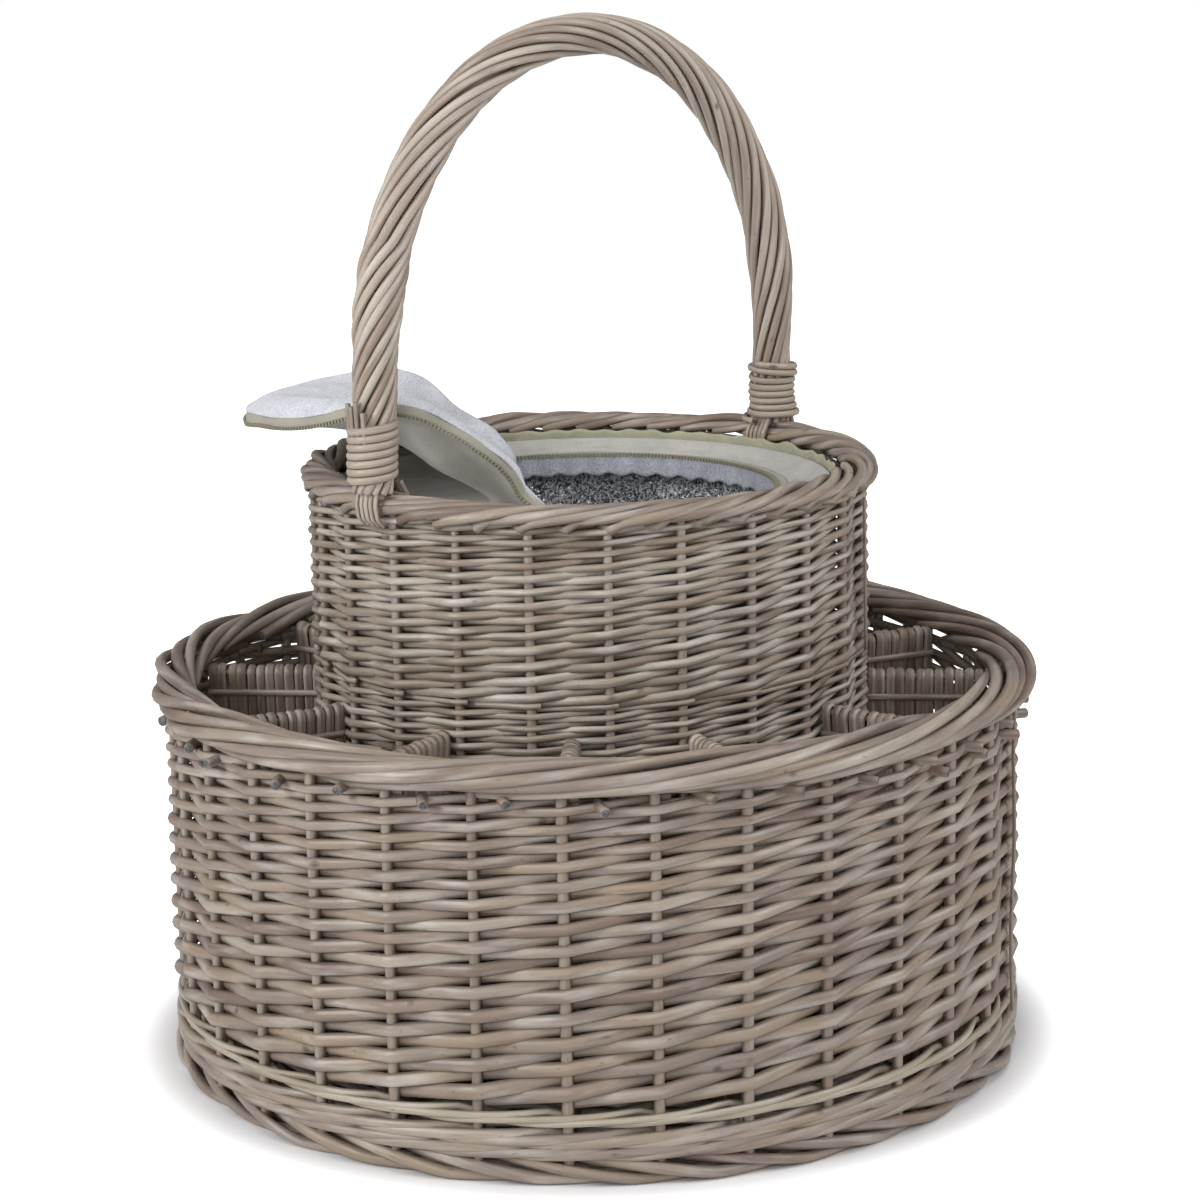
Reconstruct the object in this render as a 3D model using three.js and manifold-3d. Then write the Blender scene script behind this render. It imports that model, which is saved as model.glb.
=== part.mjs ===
// Wicker drinks basket: a wide round basket with dividers, a cooler basket in its middle and a roped handle.
// Millimetres, +Z up. The origin is the centre of the foot, on the surface that the basket stands on.
// The handle stands in the XZ plane. Angles round the basket are measured from -Y towards +X.
import * as THREE from 'three';
import { mergeVertices } from 'three/addons/utils/BufferGeometryUtils.js';
import Module from 'manifold-3d';

const wasm = await Module();
wasm.setup();

// clearances
const FIT = 0.3;
const ROOM = 0.4;

// lower basket
const LOWER_RADIUS = 240;
const LOWER_WALL = 12;
const LOWER_STAKES = 32;
const LOWER_BORDER_OVERHANG = 10;
const LOWER_BORDER_WIDTH = 28;
const LOWER_BORDER_HEIGHT = 21;
const LOWER_WALL_TOP = 202;
const LOWER_STAKE_TURN = -2.7;
const LOWER_RIB = 4.3;
const STAKE_BULGE = 2;
const WALE_SWELL = 2;

// foot and base
const FOOT_OVERHANG = 5;
const FOOT_WIDTH = 28;
const FOOT_TOP = 16.6;
const FOOT_FLAT = 4.2;
const WALE_HEIGHT = 25;
const BASE_THICKNESS = 8;
const BASE_STICKS = 16;
const BASE_STICK_WIDTH = 7;
const BASE_STICK_THICKNESS = 5;

// dividers: their places round the basket are those of the hand-set originals
const DIVIDER_ANGLES = [-140, -106, -74, -48, -24, 10, 41, 70, 101, 132, 161, 190];
const DIVIDER_RISE = 11;
const DIVIDER_THICKNESS = 5.6;
const DIVIDER_RAIL = 8.4;
const DIVIDER_RAIL_DEPTH = 9;
const DIVIDER_LOOPS = 7;
const DIVIDER_GROOVE = 0.6;
const DIVIDER_LOOP_DIP = 1.2;

// upper basket
const UPPER_RADIUS = 155;
const UPPER_WALL = 12;
const UPPER_STAKES = 24;
const UPPER_STAKE_TURN = 4.1;
const UPPER_RIB = 3.4;
const UPPER_WALL_TOP = 311;
const UPPER_WALE_HEIGHT = 10;
const UPPER_BORDER_OVERHANG = 6;
const UPPER_BORDER_WIDTH = 21;
const UPPER_BORDER_HEIGHT = 13.6;

// handle
const LEG_INSET = 3;
const LEG_HEIGHT = 70;
const HANDLE_RISE = 161;
const BOW_TIP_THICKNESS = 6.6;
const BOW_TIP_DEPTH = 64;
const ROPE_THICKNESS = 26;
const ROPE_FOOT_THICKNESS = 21.6;
const ROPE_SWELL_LENGTH = 112;
const ROPE_RODS = 12;
const LEFT_PITCH = 130;
const RIGHT_PITCH = 250;

// lashings of split cane, and the rod tails that leave them
const CANE_WIDTH = 4.8;
const CANE_THICKNESS = 2.7;
const CANE_GAP = 0.7;
const LEFT_TURNS = 8;
const RIGHT_TURNS = 7;
const RIGHT_FLARE = 4.5;
const TAIL_RODS = 4;
const TAIL_ROD_THICKNESS = 4;
const TAIL_THICKNESS = 2.6;
const TAIL_DROP = 30;
const TAIL_TUCK = 6;
const TAIL_TURN = 5;

// cooler
const BAG_WALL = 5;
const FOIL_THICKNESS = 1.2;
const COLLAR_THICKNESS = 3;
const COLLAR_HEIGHT = 18;
const PANEL_DROP = 7.6;
const PANEL_THICKNESS = 2.5;
const PANEL_RIM_RISE = 8;
const MOUTH_OFFSET = 12;
const MOUTH_OFFSET_ANGLE = 136;
const PANEL_MARGIN = 30;
const TAPE_WIDTH = 5.4;
const BINDING_HEIGHT = 10;
const BINDING_THICKNESS = 1.2;

// lid, modelled open: it swings over its straight hinge seam and its tip folds down again
const LID_TURN = -42;
const LID_SEAM = 46;
const LID_FOLD = 28;
const LID_THICKNESS = 2;
const LINING_THICKNESS = 1.5;
const LID_OPEN = 128;
const LID_TIP_OPEN = 64;

// zip slider and pull
const SLIDER_PLACE = 20;
const SLIDER_LENGTH = 9;
const SLIDER_HEIGHT = 2.7;
const SLIDER_WAIST = 0.64;
const PULL_LENGTH = 16;
const PULL_WIDTH = 4.4;
const PULL_THICKNESS = 1.2;

// places that follow from the sizes
const FULL_TURN = 2 * Math.PI;
const DEGREE = Math.PI / 180;
const LOWER_BORDER_RADIUS = LOWER_RADIUS + LOWER_BORDER_OVERHANG;
const FOOT_RADIUS = LOWER_RADIUS + FOOT_OVERHANG;
const WALE_TOP = FOOT_TOP + WALE_HEIGHT;
const FLOOR = FOOT_TOP + FIT;
const UPPER_WALE_TOP = UPPER_WALL_TOP + FIT + UPPER_WALE_HEIGHT;
const LOWER_BORDER_BOTTOM = LOWER_WALL_TOP + FIT;
const DIVIDER_TOP = LOWER_WALL_TOP + DIVIDER_RISE;
const UPPER_BORDER_RADIUS = UPPER_RADIUS + UPPER_BORDER_OVERHANG;
const UPPER_BORDER_BOTTOM = UPPER_WALE_TOP + FIT;
const UPPER_BORDER_TOP = UPPER_BORDER_BOTTOM + UPPER_BORDER_HEIGHT;
const UPPER_BORDER_INSIDE = UPPER_BORDER_RADIUS - UPPER_BORDER_WIDTH;
const ROPE_FOOT = UPPER_BORDER_TOP + FIT;
const LEG_RADIUS = UPPER_RADIUS - LEG_INSET;
const HANDLE_SPRING = ROPE_FOOT + LEG_HEIGHT;
const BOW_TIP_RADIUS = UPPER_RADIUS - UPPER_WALL / 2;
const CANE_PITCH = CANE_WIDTH + CANE_GAP;
const COLLAR_RADIUS = UPPER_BORDER_INSIDE - 2 * ROOM;
const BAG_RADIUS = COLLAR_RADIUS - COLLAR_THICKNESS - FIT;
const PANEL_HEIGHT = UPPER_BORDER_BOTTOM - PANEL_DROP;
const MOUTH_RADIUS = BAG_RADIUS - PANEL_MARGIN;
const TAPE_INSIDE = MOUTH_RADIUS + FIT;
const TAPE_OUTSIDE = TAPE_INSIDE + TAPE_WIDTH - 2 * FIT;
const PANEL_OPENING = TAPE_OUTSIDE + ROOM;

const ROUND = 32;
const BIG_ROUND = 48;

const willow = new THREE.MeshStandardMaterial({ color: 0xa59482, roughness: 0.75, metalness: 0 });
const greyWillow = new THREE.MeshStandardMaterial({ color: 0x9c9080, roughness: 0.75, metalness: 0 });
const paleWillow = new THREE.MeshStandardMaterial({ color: 0xb8a48c, roughness: 0.65, metalness: 0 });
const coolerCloth = new THREE.MeshStandardMaterial({ color: 0xaaa8a3, roughness: 0.95, metalness: 0 });
const collarCloth = new THREE.MeshStandardMaterial({ color: 0xa0a082, roughness: 0.95, metalness: 0 });
const zipTape = new THREE.MeshStandardMaterial({ color: 0xb9b9aa, roughness: 0.85, metalness: 0 });
const whiteLining = new THREE.MeshStandardMaterial({ color: 0xe1e4eb, roughness: 0.9, metalness: 0 });
const foil = new THREE.MeshStandardMaterial({ color: 0x8c9196, roughness: 0.3, metalness: 1 });
const zipMetal = new THREE.MeshStandardMaterial({ color: 0x9a9a92, roughness: 0.35, metalness: 1 });

const basket = new THREE.Group();

function addPiece(name, geometry, material, parent = basket) {
  const mesh = new THREE.Mesh(outward(geometry), material);
  mesh.name = name;
  parent.add(mesh);
  return mesh;
}

// Turns every face round if the closed shape is inside out.
function outward(geometry) {
  const bare = new THREE.BufferGeometry();
  bare.setAttribute('position', geometry.getAttribute('position'));
  bare.setIndex(geometry.index);
  const merged = mergeVertices(bare, 1e-4);
  const position = merged.getAttribute('position');
  const order = merged.index.array;
  const corner = [new THREE.Vector3(), new THREE.Vector3(), new THREE.Vector3()];
  let volume = 0;
  for (let i = 0; i < order.length; i += 3) {
    corner.forEach((c, k) => c.fromBufferAttribute(position, order[i + k]));
    volume += corner[0].dot(corner[1].clone().cross(corner[2]));
  }
  if (volume < 0) {
    for (let i = 0; i < order.length; i += 3) {
      [order[i + 1], order[i + 2]] = [order[i + 2], order[i + 1]];
    }
  }
  return merged;
}

// Joins a row of outlines with equal counts of points. A loop closes on its first outline, moved on by shift points.
function loft(outlines, { loop = false, shift = 0 } = {}) {
  const count = outlines[0].length;
  const points = outlines.flat();
  const index = [];
  const spans = loop ? outlines.length : outlines.length - 1;
  for (let j = 0; j < spans; j++) {
    const wraps = j === outlines.length - 1;
    for (let i = 0; i < count; i++) {
      const k = (i + 1) % count;
      const next = (m) => (wraps ? (m + shift) % count : (j + 1) * count + m);
      index.push(j * count + i, j * count + k, next(k), j * count + i, next(k), next(i));
    }
  }
  if (!loop) {
    for (const [start, flip] of [[0, true], [(outlines.length - 1) * count, false]]) {
      const middle = new THREE.Vector3();
      for (let i = 0; i < count; i++) {
        middle.addScaledVector(points[start + i], 1 / count);
      }
      points.push(middle);
      for (let i = 0; i < count; i++) {
        const edge = [start + i, start + ((i + 1) % count)];
        index.push(points.length - 1, ...(flip ? edge.reverse() : edge));
      }
    }
  }
  const geometry = new THREE.BufferGeometry().setFromPoints(points);
  geometry.setIndex(index);
  return geometry;
}

// Sweeps a section along stations { at, out }. The section gives [out, side] offsets for a station.
function sweep(stations, section) {
  const outlines = stations.map((station, j) => {
    const before = stations[Math.max(j - 1, 0)].at;
    const after = stations[Math.min(j + 1, stations.length - 1)].at;
    const along = after.clone().sub(before).normalize();
    const side = along.clone().cross(station.out).normalize();
    const out = side.clone().cross(along);
    return section(station).map(([a, b]) => station.at.clone().addScaledVector(out, a).addScaledVector(side, b));
  });
  return loft(outlines);
}

function ellipse(depth, width, sides) {
  return Array.from({ length: sides }, (_, i) => {
    const angle = (i / sides) * FULL_TURN;
    return [depth * Math.cos(angle), width * Math.sin(angle)];
  });
}

// A point at an angle round the basket, at a radius and a height.
function around(angle, radius, height) {
  return new THREE.Vector3(radius * Math.sin(angle), -radius * Math.cos(angle), height);
}

// A rolled border: rods that climb the outside of a ring, cross its top and go down inside.
function rolledRing({ outside, width, bottom, height, rods, groove, climbs, steps, floor = -Infinity }) {
  const points = rods * 3;
  const middle = outside - width / 2;
  const outlines = Array.from({ length: steps }, (_, j) => {
    const turn = (j / steps) * FULL_TURN;
    return Array.from({ length: points }, (_, i) => {
      const section = (i / points) * FULL_TURN + (climbs / rods) * turn;
      const size = i % 3 === 0 ? 1 - groove : 1;
      const radius = middle + (width / 2) * size * Math.cos(section);
      const rise = bottom + height / 2 + (height / 2) * size * Math.sin(section);
      return around(turn, radius, Math.max(rise, floor));
    });
  });
  return loft(outlines, { loop: true, shift: 3 * climbs });
}

// A woven wall: its surfaces swell where the weavers pass its uprights, and are hollow between them.
const RIB_PROFILE = [1, 0.7, 0, 0.7];
function stakedWall({ outside, thickness, stakes, turn, rib, bottom, top }) {
  const samples = stakes * RIB_PROFILE.length;
  const loop = (base, bulge) =>
    Array.from({ length: samples }, (_, i) => {
      const radius = base + bulge * RIB_PROFILE[i % RIB_PROFILE.length];
      const point = around(turn * DEGREE + (i / samples) * FULL_TURN, radius, 0);
      return new THREE.Vector2(point.x, point.y);
    });
  const shape = new THREE.Shape(loop(outside - rib, rib));
  shape.holes.push(new THREE.Path(loop(outside - thickness + STAKE_BULGE, -STAKE_BULGE)));
  return new THREE.ExtrudeGeometry(shape, { depth: top - bottom, bevelEnabled: false }).translate(0, 0, bottom);
}

// A band of rods laid round on top of each other: the profile swells once for each rod.
function waleRing(outside, thickness, bottom, height, rows, segments) {
  const swell = WALE_SWELL;
  const rowHeight = height / rows;
  const profile = [];
  for (let i = 0; i < rows; i++) {
    profile.push(new THREE.Vector2(outside - swell, bottom + i * rowHeight));
    profile.push(new THREE.Vector2(outside, bottom + (i + 0.5) * rowHeight));
  }
  profile.push(new THREE.Vector2(outside - swell, bottom + height));
  profile.push(new THREE.Vector2(outside - thickness, bottom + height));
  profile.push(new THREE.Vector2(outside - thickness, bottom));
  return lathe([...profile, profile[0]], segments);
}

function lathe(profile, segments) {
  return new THREE.LatheGeometry(profile, segments).rotateX(Math.PI / 2);
}

function toSolid(geometry) {
  const closed = outward(geometry);
  const mesh = new wasm.Mesh({
    numProp: 3,
    vertProperties: new Float32Array(closed.getAttribute('position').array),
    triVerts: new Uint32Array(closed.index.array),
  });
  return new wasm.Manifold(mesh);
}

function toGeometry(solid) {
  const mesh = solid.getMesh();
  const geometry = new THREE.BufferGeometry();
  geometry.setAttribute('position', new THREE.BufferAttribute(mesh.vertProperties, mesh.numProp));
  geometry.setIndex(new THREE.BufferAttribute(mesh.triVerts, 1));
  return geometry;
}

// foot border: the diagonal rods on which the basket stands, worn flat below
addPiece('foot_border', rolledRing({
  outside: FOOT_RADIUS,
  width: FOOT_WIDTH,
  bottom: -FOOT_FLAT,
  height: FOOT_TOP + FOOT_FLAT,
  rods: 4,
  groove: 0.15,
  climbs: 20,
  steps: 48,
  floor: 0,
}), willow);

// base: a woven disc on a star of sticks
const baseRadius = FOOT_RADIUS - FOOT_WIDTH - ROOM;
const baseBottom = FOOT_TOP - BASE_THICKNESS;
addPiece('base_weave', lathe([
  new THREE.Vector2(0, baseBottom),
  new THREE.Vector2(baseRadius, baseBottom),
  new THREE.Vector2(baseRadius, FOOT_TOP),
  new THREE.Vector2(0, FOOT_TOP),
], BIG_ROUND), willow);

function starOfSticks(count, width, radius) {
  const hub = width / 2 / Math.sin(Math.PI / count) / Math.cos(Math.PI / count);
  const points = [];
  for (let i = 0; i < count; i++) {
    const angle = (i / count) * FULL_TURN;
    const stick = new THREE.Vector2(Math.cos(angle), Math.sin(angle));
    const side = new THREE.Vector2(-stick.y, stick.x);
    for (const hand of [-1, 1]) {
      points.push(stick.clone().multiplyScalar(radius).addScaledVector(side, (hand * width) / 2));
    }
    const valley = angle + Math.PI / count;
    points.push(new THREE.Vector2(hub * Math.cos(valley), hub * Math.sin(valley)));
  }
  return new THREE.Shape(points);
}
addPiece('base_sticks', new THREE.ExtrudeGeometry(
  starOfSticks(BASE_STICKS, BASE_STICK_WIDTH, baseRadius - ROOM),
  { depth: BASE_STICK_THICKNESS, bevelEnabled: false },
).translate(0, 0, baseBottom - FIT - BASE_STICK_THICKNESS), willow);

// lower basket
const lowerInside = LOWER_RADIUS - LOWER_WALL;
addPiece('bottom_wale', waleRing(LOWER_RADIUS, LOWER_WALL, FOOT_TOP + FIT, WALE_HEIGHT - FIT, 2, BIG_ROUND), willow);
addPiece('lower_wall', stakedWall({
  outside: LOWER_RADIUS,
  thickness: LOWER_WALL,
  stakes: LOWER_STAKES,
  turn: LOWER_STAKE_TURN,
  rib: LOWER_RIB,
  bottom: WALE_TOP + FIT,
  top: LOWER_WALL_TOP,
}), willow);
addPiece('lower_border', rolledRing({
  outside: LOWER_BORDER_RADIUS,
  width: LOWER_BORDER_WIDTH,
  bottom: LOWER_BORDER_BOTTOM,
  height: LOWER_BORDER_HEIGHT,
  rods: 4,
  groove: 0.16,
  climbs: 16,
  steps: 54,
}), willow);

// dividers: upright rods looped over a top rail, from wall to wall
function divider() {
  const inner = UPPER_RADIUS + FIT;
  const borderInside = LOWER_BORDER_RADIUS - LOWER_BORDER_WIDTH - ROOM;
  const outer = lowerInside * Math.cos(Math.PI / BIG_ROUND) - ROOM;
  const stationCount = 2 * DIVIDER_LOOPS;
  const shoulder = DIVIDER_TOP - DIVIDER_RAIL_DEPTH;
  const outline = (radius, ridge, top) => {
    const half = DIVIDER_THICKNESS / 2 - (ridge ? 0 : DIVIDER_GROOVE);
    const rail = DIVIDER_RAIL / 2 - (ridge ? 0 : DIVIDER_GROOVE);
    const crown = Math.min(top, DIVIDER_TOP - (ridge ? 0 : DIVIDER_LOOP_DIP));
    const neck = Math.min(shoulder, top - 1);
    const railHalf = crown > shoulder + 1 ? rail : half;
    return [
      [-half, FLOOR], [half, FLOOR], [half, neck], [railHalf, crown], [-railHalf, crown], [-half, neck],
    ].map(([across, height]) => new THREE.Vector3(radius, across, height));
  };
  const outlines = [];
  for (let i = 0; i <= stationCount; i++) {
    const radius = inner + ((borderInside - inner) * i) / stationCount;
    outlines.push(outline(radius, i % 2 === 1, DIVIDER_TOP));
  }
  const underBorder = LOWER_WALL_TOP - ROOM;
  outlines.push(outline(borderInside + 0.01, false, underBorder));
  outlines.push(outline(outer, false, underBorder));
  return loft(outlines);
}
DIVIDER_ANGLES.forEach((angle, i) => {
  const mesh = addPiece(`divider_${String(i + 1).padStart(2, '0')}`, divider(), willow);
  mesh.rotation.z = (angle - 90) * DEGREE;
});

// upper basket, with a hole on each side for the tips of the handle bow
const tipBottom = UPPER_BORDER_BOTTOM - BOW_TIP_DEPTH;
const tipHoles = [-1, 1].map((side) => toSolid(
  new THREE.CylinderGeometry(BOW_TIP_THICKNESS / 2 + FIT, BOW_TIP_THICKNESS / 2 + FIT, 2 * BOW_TIP_DEPTH, 12)
    .rotateX(Math.PI / 2)
    .translate(side * BOW_TIP_RADIUS, 0, tipBottom - FIT + BOW_TIP_DEPTH),
));
function withTipHoles(geometry) {
  return toGeometry(tipHoles.reduce((solid, hole) => solid.subtract(hole), toSolid(geometry)));
}
addPiece('upper_wall', withTipHoles(stakedWall({
  outside: UPPER_RADIUS,
  thickness: UPPER_WALL,
  stakes: UPPER_STAKES,
  turn: UPPER_STAKE_TURN,
  rib: UPPER_RIB,
  bottom: FLOOR,
  top: UPPER_WALL_TOP,
})), greyWillow);
addPiece('upper_wale', withTipHoles(waleRing(
  UPPER_RADIUS, UPPER_WALL, UPPER_WALL_TOP + FIT, UPPER_WALE_HEIGHT, 2, ROUND,
)), greyWillow);
addPiece('upper_border', withTipHoles(rolledRing({
  outside: UPPER_BORDER_RADIUS,
  width: UPPER_BORDER_WIDTH,
  bottom: UPPER_BORDER_BOTTOM,
  height: UPPER_BORDER_HEIGHT,
  rods: 4,
  groove: 0.16,
  climbs: 12,
  steps: 46,
})), willow);

// handle: its centre line climbs one leg, goes over a half ellipse and comes down the other leg
const archSamples = 180;
const archLengths = [0];
for (let i = 1; i <= archSamples; i++) {
  const [a, b] = [i - 1, i].map((k) => (k / archSamples) * Math.PI);
  const dx = LEG_RADIUS * (Math.cos(a) - Math.cos(b));
  const dz = HANDLE_RISE * (Math.sin(b) - Math.sin(a));
  archLengths.push(archLengths[i - 1] + Math.hypot(dx, dz));
}
const archLength = archLengths[archSamples];
const handleLength = archLength + 2 * LEG_HEIGHT;

// The point of the centre line at a distance from the left foot, and the direction out of the arch there.
function handleAt(distance) {
  if (distance <= LEG_HEIGHT || distance >= LEG_HEIGHT + archLength) {
    const left = distance <= LEG_HEIGHT;
    const climb = left ? distance : handleLength - distance;
    return {
      at: new THREE.Vector3(left ? -LEG_RADIUS : LEG_RADIUS, 0, ROPE_FOOT + climb),
      out: new THREE.Vector3(left ? -1 : 1, 0, 0),
    };
  }
  const onArch = distance - LEG_HEIGHT;
  const k = archLengths.findIndex((length) => length >= onArch);
  const share = (onArch - archLengths[k - 1]) / (archLengths[k] - archLengths[k - 1]);
  const angle = ((k - 1 + share) / archSamples) * Math.PI;
  const out = new THREE.Vector3(-HANDLE_RISE * Math.cos(angle), 0, LEG_RADIUS * Math.sin(angle)).normalize();
  return {
    at: new THREE.Vector3(-LEG_RADIUS * Math.cos(angle), 0, HANDLE_SPRING + HANDLE_RISE * Math.sin(angle)),
    out,
  };
}

// The thickest rods that lie side by side round a rope of this thickness, at the slant of the tight lay.
// Their centres lie on a circle of LAY_CIRCLE times the rope's thickness.
const LAY_CIRCLE = 0.82;
const layCosine = Math.cos(Math.atan((Math.PI * LAY_CIRCLE * ROPE_THICKNESS) / LEFT_PITCH));
function rodIn(ropeThickness) {
  const share = Math.sin(Math.PI / ROPE_RODS) * layCosine;
  return (ropeThickness * share - FIT) / (1 + share);
}
const ropeRod = rodIn(ROPE_THICKNESS);
const ropeRodFoot = rodIn(ROPE_FOOT_THICKNESS);
const bowThickness = ROPE_FOOT_THICKNESS - 2 * ropeRodFoot - 2 * ROOM;

// bow: the core rod, with tapered tips that go down through the border into the wall
const bowSteps = 26;
const bowStations = [];
for (let i = 0; i <= bowSteps; i++) {
  bowStations.push({ ...handleAt((i / bowSteps) * handleLength), radius: bowThickness / 2 });
}
function tipStations(side) {
  const out = new THREE.Vector3(side, 0, 0);
  const tip = BOW_TIP_THICKNESS / 2;
  return [[tipBottom, tip], [UPPER_BORDER_TOP - ROOM, tip]].map(([height, radius]) => ({
    at: new THREE.Vector3(side * BOW_TIP_RADIUS, 0, height),
    out,
    radius,
  }));
}
const bowEnds = [tipStations(-1), tipStations(1).reverse()];
addPiece('handle_bow', sweep(
  [...bowEnds[0], ...bowStations, ...bowEnds[1]],
  ({ radius }) => ellipse(radius, radius, 8),
), paleWillow);

// rope: rods twisted round the bow, thinner towards both feet and more tightly wound on the left limb
function ropeTurn(distance) {
  const fast = Math.min(distance, LEFT_PITCH) / LEFT_PITCH;
  const slow = Math.max(distance - LEFT_PITCH, 0) / RIGHT_PITCH;
  return (fast + slow) * FULL_TURN;
}
function swellAt(distance) {
  const fromFoot = Math.min(distance, handleLength - distance);
  return THREE.MathUtils.smoothstep(fromFoot, 0, ROPE_SWELL_LENGTH);
}
const ropeSteps = 34;
for (let rod = 0; rod < ROPE_RODS; rod++) {
  const stations = [];
  for (let i = 0; i <= ropeSteps; i++) {
    const distance = (i / ropeSteps) * handleLength;
    const swell = swellAt(distance);
    const radius = THREE.MathUtils.lerp(ropeRodFoot, ropeRod, swell) / 2;
    const reach = THREE.MathUtils.lerp(ROPE_FOOT_THICKNESS, ROPE_THICKNESS, swell) / 2 - radius;
    const turn = ropeTurn(distance) + (rod / ROPE_RODS) * FULL_TURN;
    const line = handleAt(distance);
    const out = line.out.clone().multiplyScalar(Math.cos(turn));
    out.addScaledVector(new THREE.Vector3(0, -1, 0), Math.sin(turn));
    stations.push({ at: line.at.clone().addScaledVector(out, reach), out, radius });
  }
  addPiece(`rope_rod_${rod + 1}`, sweep(stations, ({ radius }) => ellipse(radius, radius, 5)), willow);
}

// lashings: one unbroken cane wound round each foot of the rope, wider below on the right
function lashing(side, turns, flare) {
  const perTurn = 12;
  const steps = Math.round(turns * perTurn);
  const bottom = ROPE_FOOT + CANE_WIDTH / 2 + FIT;
  const reach = (ROPE_FOOT_THICKNESS / 2 + ROOM + CANE_THICKNESS / 2) / Math.cos(Math.PI / perTurn);
  const stations = [];
  for (let i = 0; i <= steps; i++) {
    const angle = (i / perTurn) * FULL_TURN;
    const height = (i / perTurn) * CANE_PITCH;
    const share = i / steps;
    const swell = ropeSwellRoom(height);
    const radius = reach + flare * (1 - share) ** 2 + swell;
    const out = new THREE.Vector3(Math.cos(angle), Math.sin(angle), 0);
    const at = new THREE.Vector3(side * LEG_RADIUS, 0, bottom + height).addScaledVector(out, radius);
    stations.push({ at, out });
  }
  printLeastGap(side < 0 ? 'left lashing' : 'right lashing', stations, perTurn);
  return sweep(stations, () => ellipse(CANE_THICKNESS / 2, CANE_WIDTH / 2, 5));
}
function ropeSwellRoom(height) {
  return (swellAt(height + CANE_WIDTH) * (ROPE_THICKNESS - ROPE_FOOT_THICKNESS)) / 2;
}
// The least gap between neighbouring turns, measured from the points of the centre line.
function printLeastGap(name, stations, perTurn) {
  let least = Infinity;
  for (let i = 0; i + perTurn / 2 < stations.length; i++) {
    for (let j = i + perTurn / 2; j < stations.length; j++) {
      least = Math.min(least, stations[i].at.distanceTo(stations[j].at));
    }
  }
  console.log(`${name}: least gap between turns ${(least - CANE_WIDTH).toFixed(2)} mm`);
}
addPiece('lashing_left', lashing(-1, LEFT_TURNS, 0), paleWillow);
addPiece('lashing_right', lashing(1, RIGHT_TURNS, RIGHT_FLARE), paleWillow);

// tails: the rods that leave each lashing and go down over the border, side by side
function tailSection() {
  const width = TAIL_RODS * TAIL_ROD_THICKNESS;
  const points = [];
  for (let i = 0; i <= 2 * TAIL_RODS; i++) {
    points.push([(TAIL_THICKNESS / 2) * (i % 2 ? 1 : 0.55), -width / 2 + (i * TAIL_ROD_THICKNESS) / 2]);
  }
  points.push([-TAIL_THICKNESS / 2, width / 2], [-TAIL_THICKNESS / 2, -width / 2]);
  return points;
}
function tails(angle, path) {
  const turn = angle * DEGREE;
  const out = around(turn, 1, 0);
  return sweep(path.map(([radius, height]) => ({ at: around(turn, radius, height), out })), tailSection);
}
const tailHalf = TAIL_THICKNESS / 2 + ROOM;
const tailStart = ROPE_FOOT - FIT;
const outerTail = [
  [UPPER_BORDER_RADIUS + tailHalf, tailStart],
  [UPPER_BORDER_RADIUS + tailHalf, tailStart - UPPER_BORDER_HEIGHT],
  [UPPER_RADIUS + tailHalf + ROOM, tailStart - TAIL_DROP + TAIL_TUCK],
  [UPPER_RADIUS + tailHalf + FIT, tailStart - TAIL_DROP],
];
const innerTail = [
  [UPPER_BORDER_INSIDE - tailHalf, tailStart],
  [UPPER_BORDER_INSIDE - tailHalf, tailStart - UPPER_BORDER_HEIGHT / 2],
];
addPiece('tails_left_outer', tails(-90 + TAIL_TURN, outerTail), willow);
addPiece('tails_left_inner', tails(-90 + TAIL_TURN, innerTail), willow);
addPiece('tails_right_outer', tails(90 + TAIL_TURN, outerTail), willow);
addPiece('tails_right_inner', tails(90 - TAIL_TURN, innerTail), willow);

// cooler bag and foil lining: soft cups in the inner basket
const panelBottom = PANEL_HEIGHT - PANEL_THICKNESS;
const bagInside = BAG_RADIUS - BAG_WALL;
const bagBottom = FLOOR + BAG_WALL;
const bagTop = panelBottom + ROOM;
addPiece('cooler_bag', lathe([
  new THREE.Vector2(0, FLOOR),
  new THREE.Vector2(BAG_RADIUS - BAG_WALL, FLOOR),
  new THREE.Vector2(BAG_RADIUS, bagBottom),
  new THREE.Vector2(BAG_RADIUS, bagTop),
  new THREE.Vector2(bagInside, bagTop),
  new THREE.Vector2(bagInside, bagBottom),
  new THREE.Vector2(0, bagBottom),
], ROUND), coolerCloth);
const foilOutside = bagInside - FIT;
const foilInside = foilOutside - FOIL_THICKNESS;
const foilBottom = bagBottom + FIT;
addPiece('foil_lining', lathe([
  new THREE.Vector2(0, foilBottom),
  new THREE.Vector2(foilOutside, foilBottom),
  new THREE.Vector2(foilOutside, panelBottom - FIT),
  new THREE.Vector2(foilInside, panelBottom - FIT),
  new THREE.Vector2(foilInside, foilBottom + FOIL_THICKNESS),
  new THREE.Vector2(0, foilBottom + FOIL_THICKNESS),
], ROUND), foil);

// collar: the band that hangs the cooler from the border
const collarInside = COLLAR_RADIUS - COLLAR_THICKNESS;
const collarTop = UPPER_BORDER_BOTTOM + UPPER_BORDER_HEIGHT / 3;
addPiece('collar', lathe([
  new THREE.Vector2(collarInside, collarTop - COLLAR_HEIGHT),
  new THREE.Vector2(COLLAR_RADIUS, collarTop - COLLAR_HEIGHT),
  new THREE.Vector2(COLLAR_RADIUS, collarTop),
  new THREE.Vector2(collarInside, collarTop),
  new THREE.Vector2(collarInside, collarTop - COLLAR_HEIGHT),
], ROUND), collarCloth);

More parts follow.
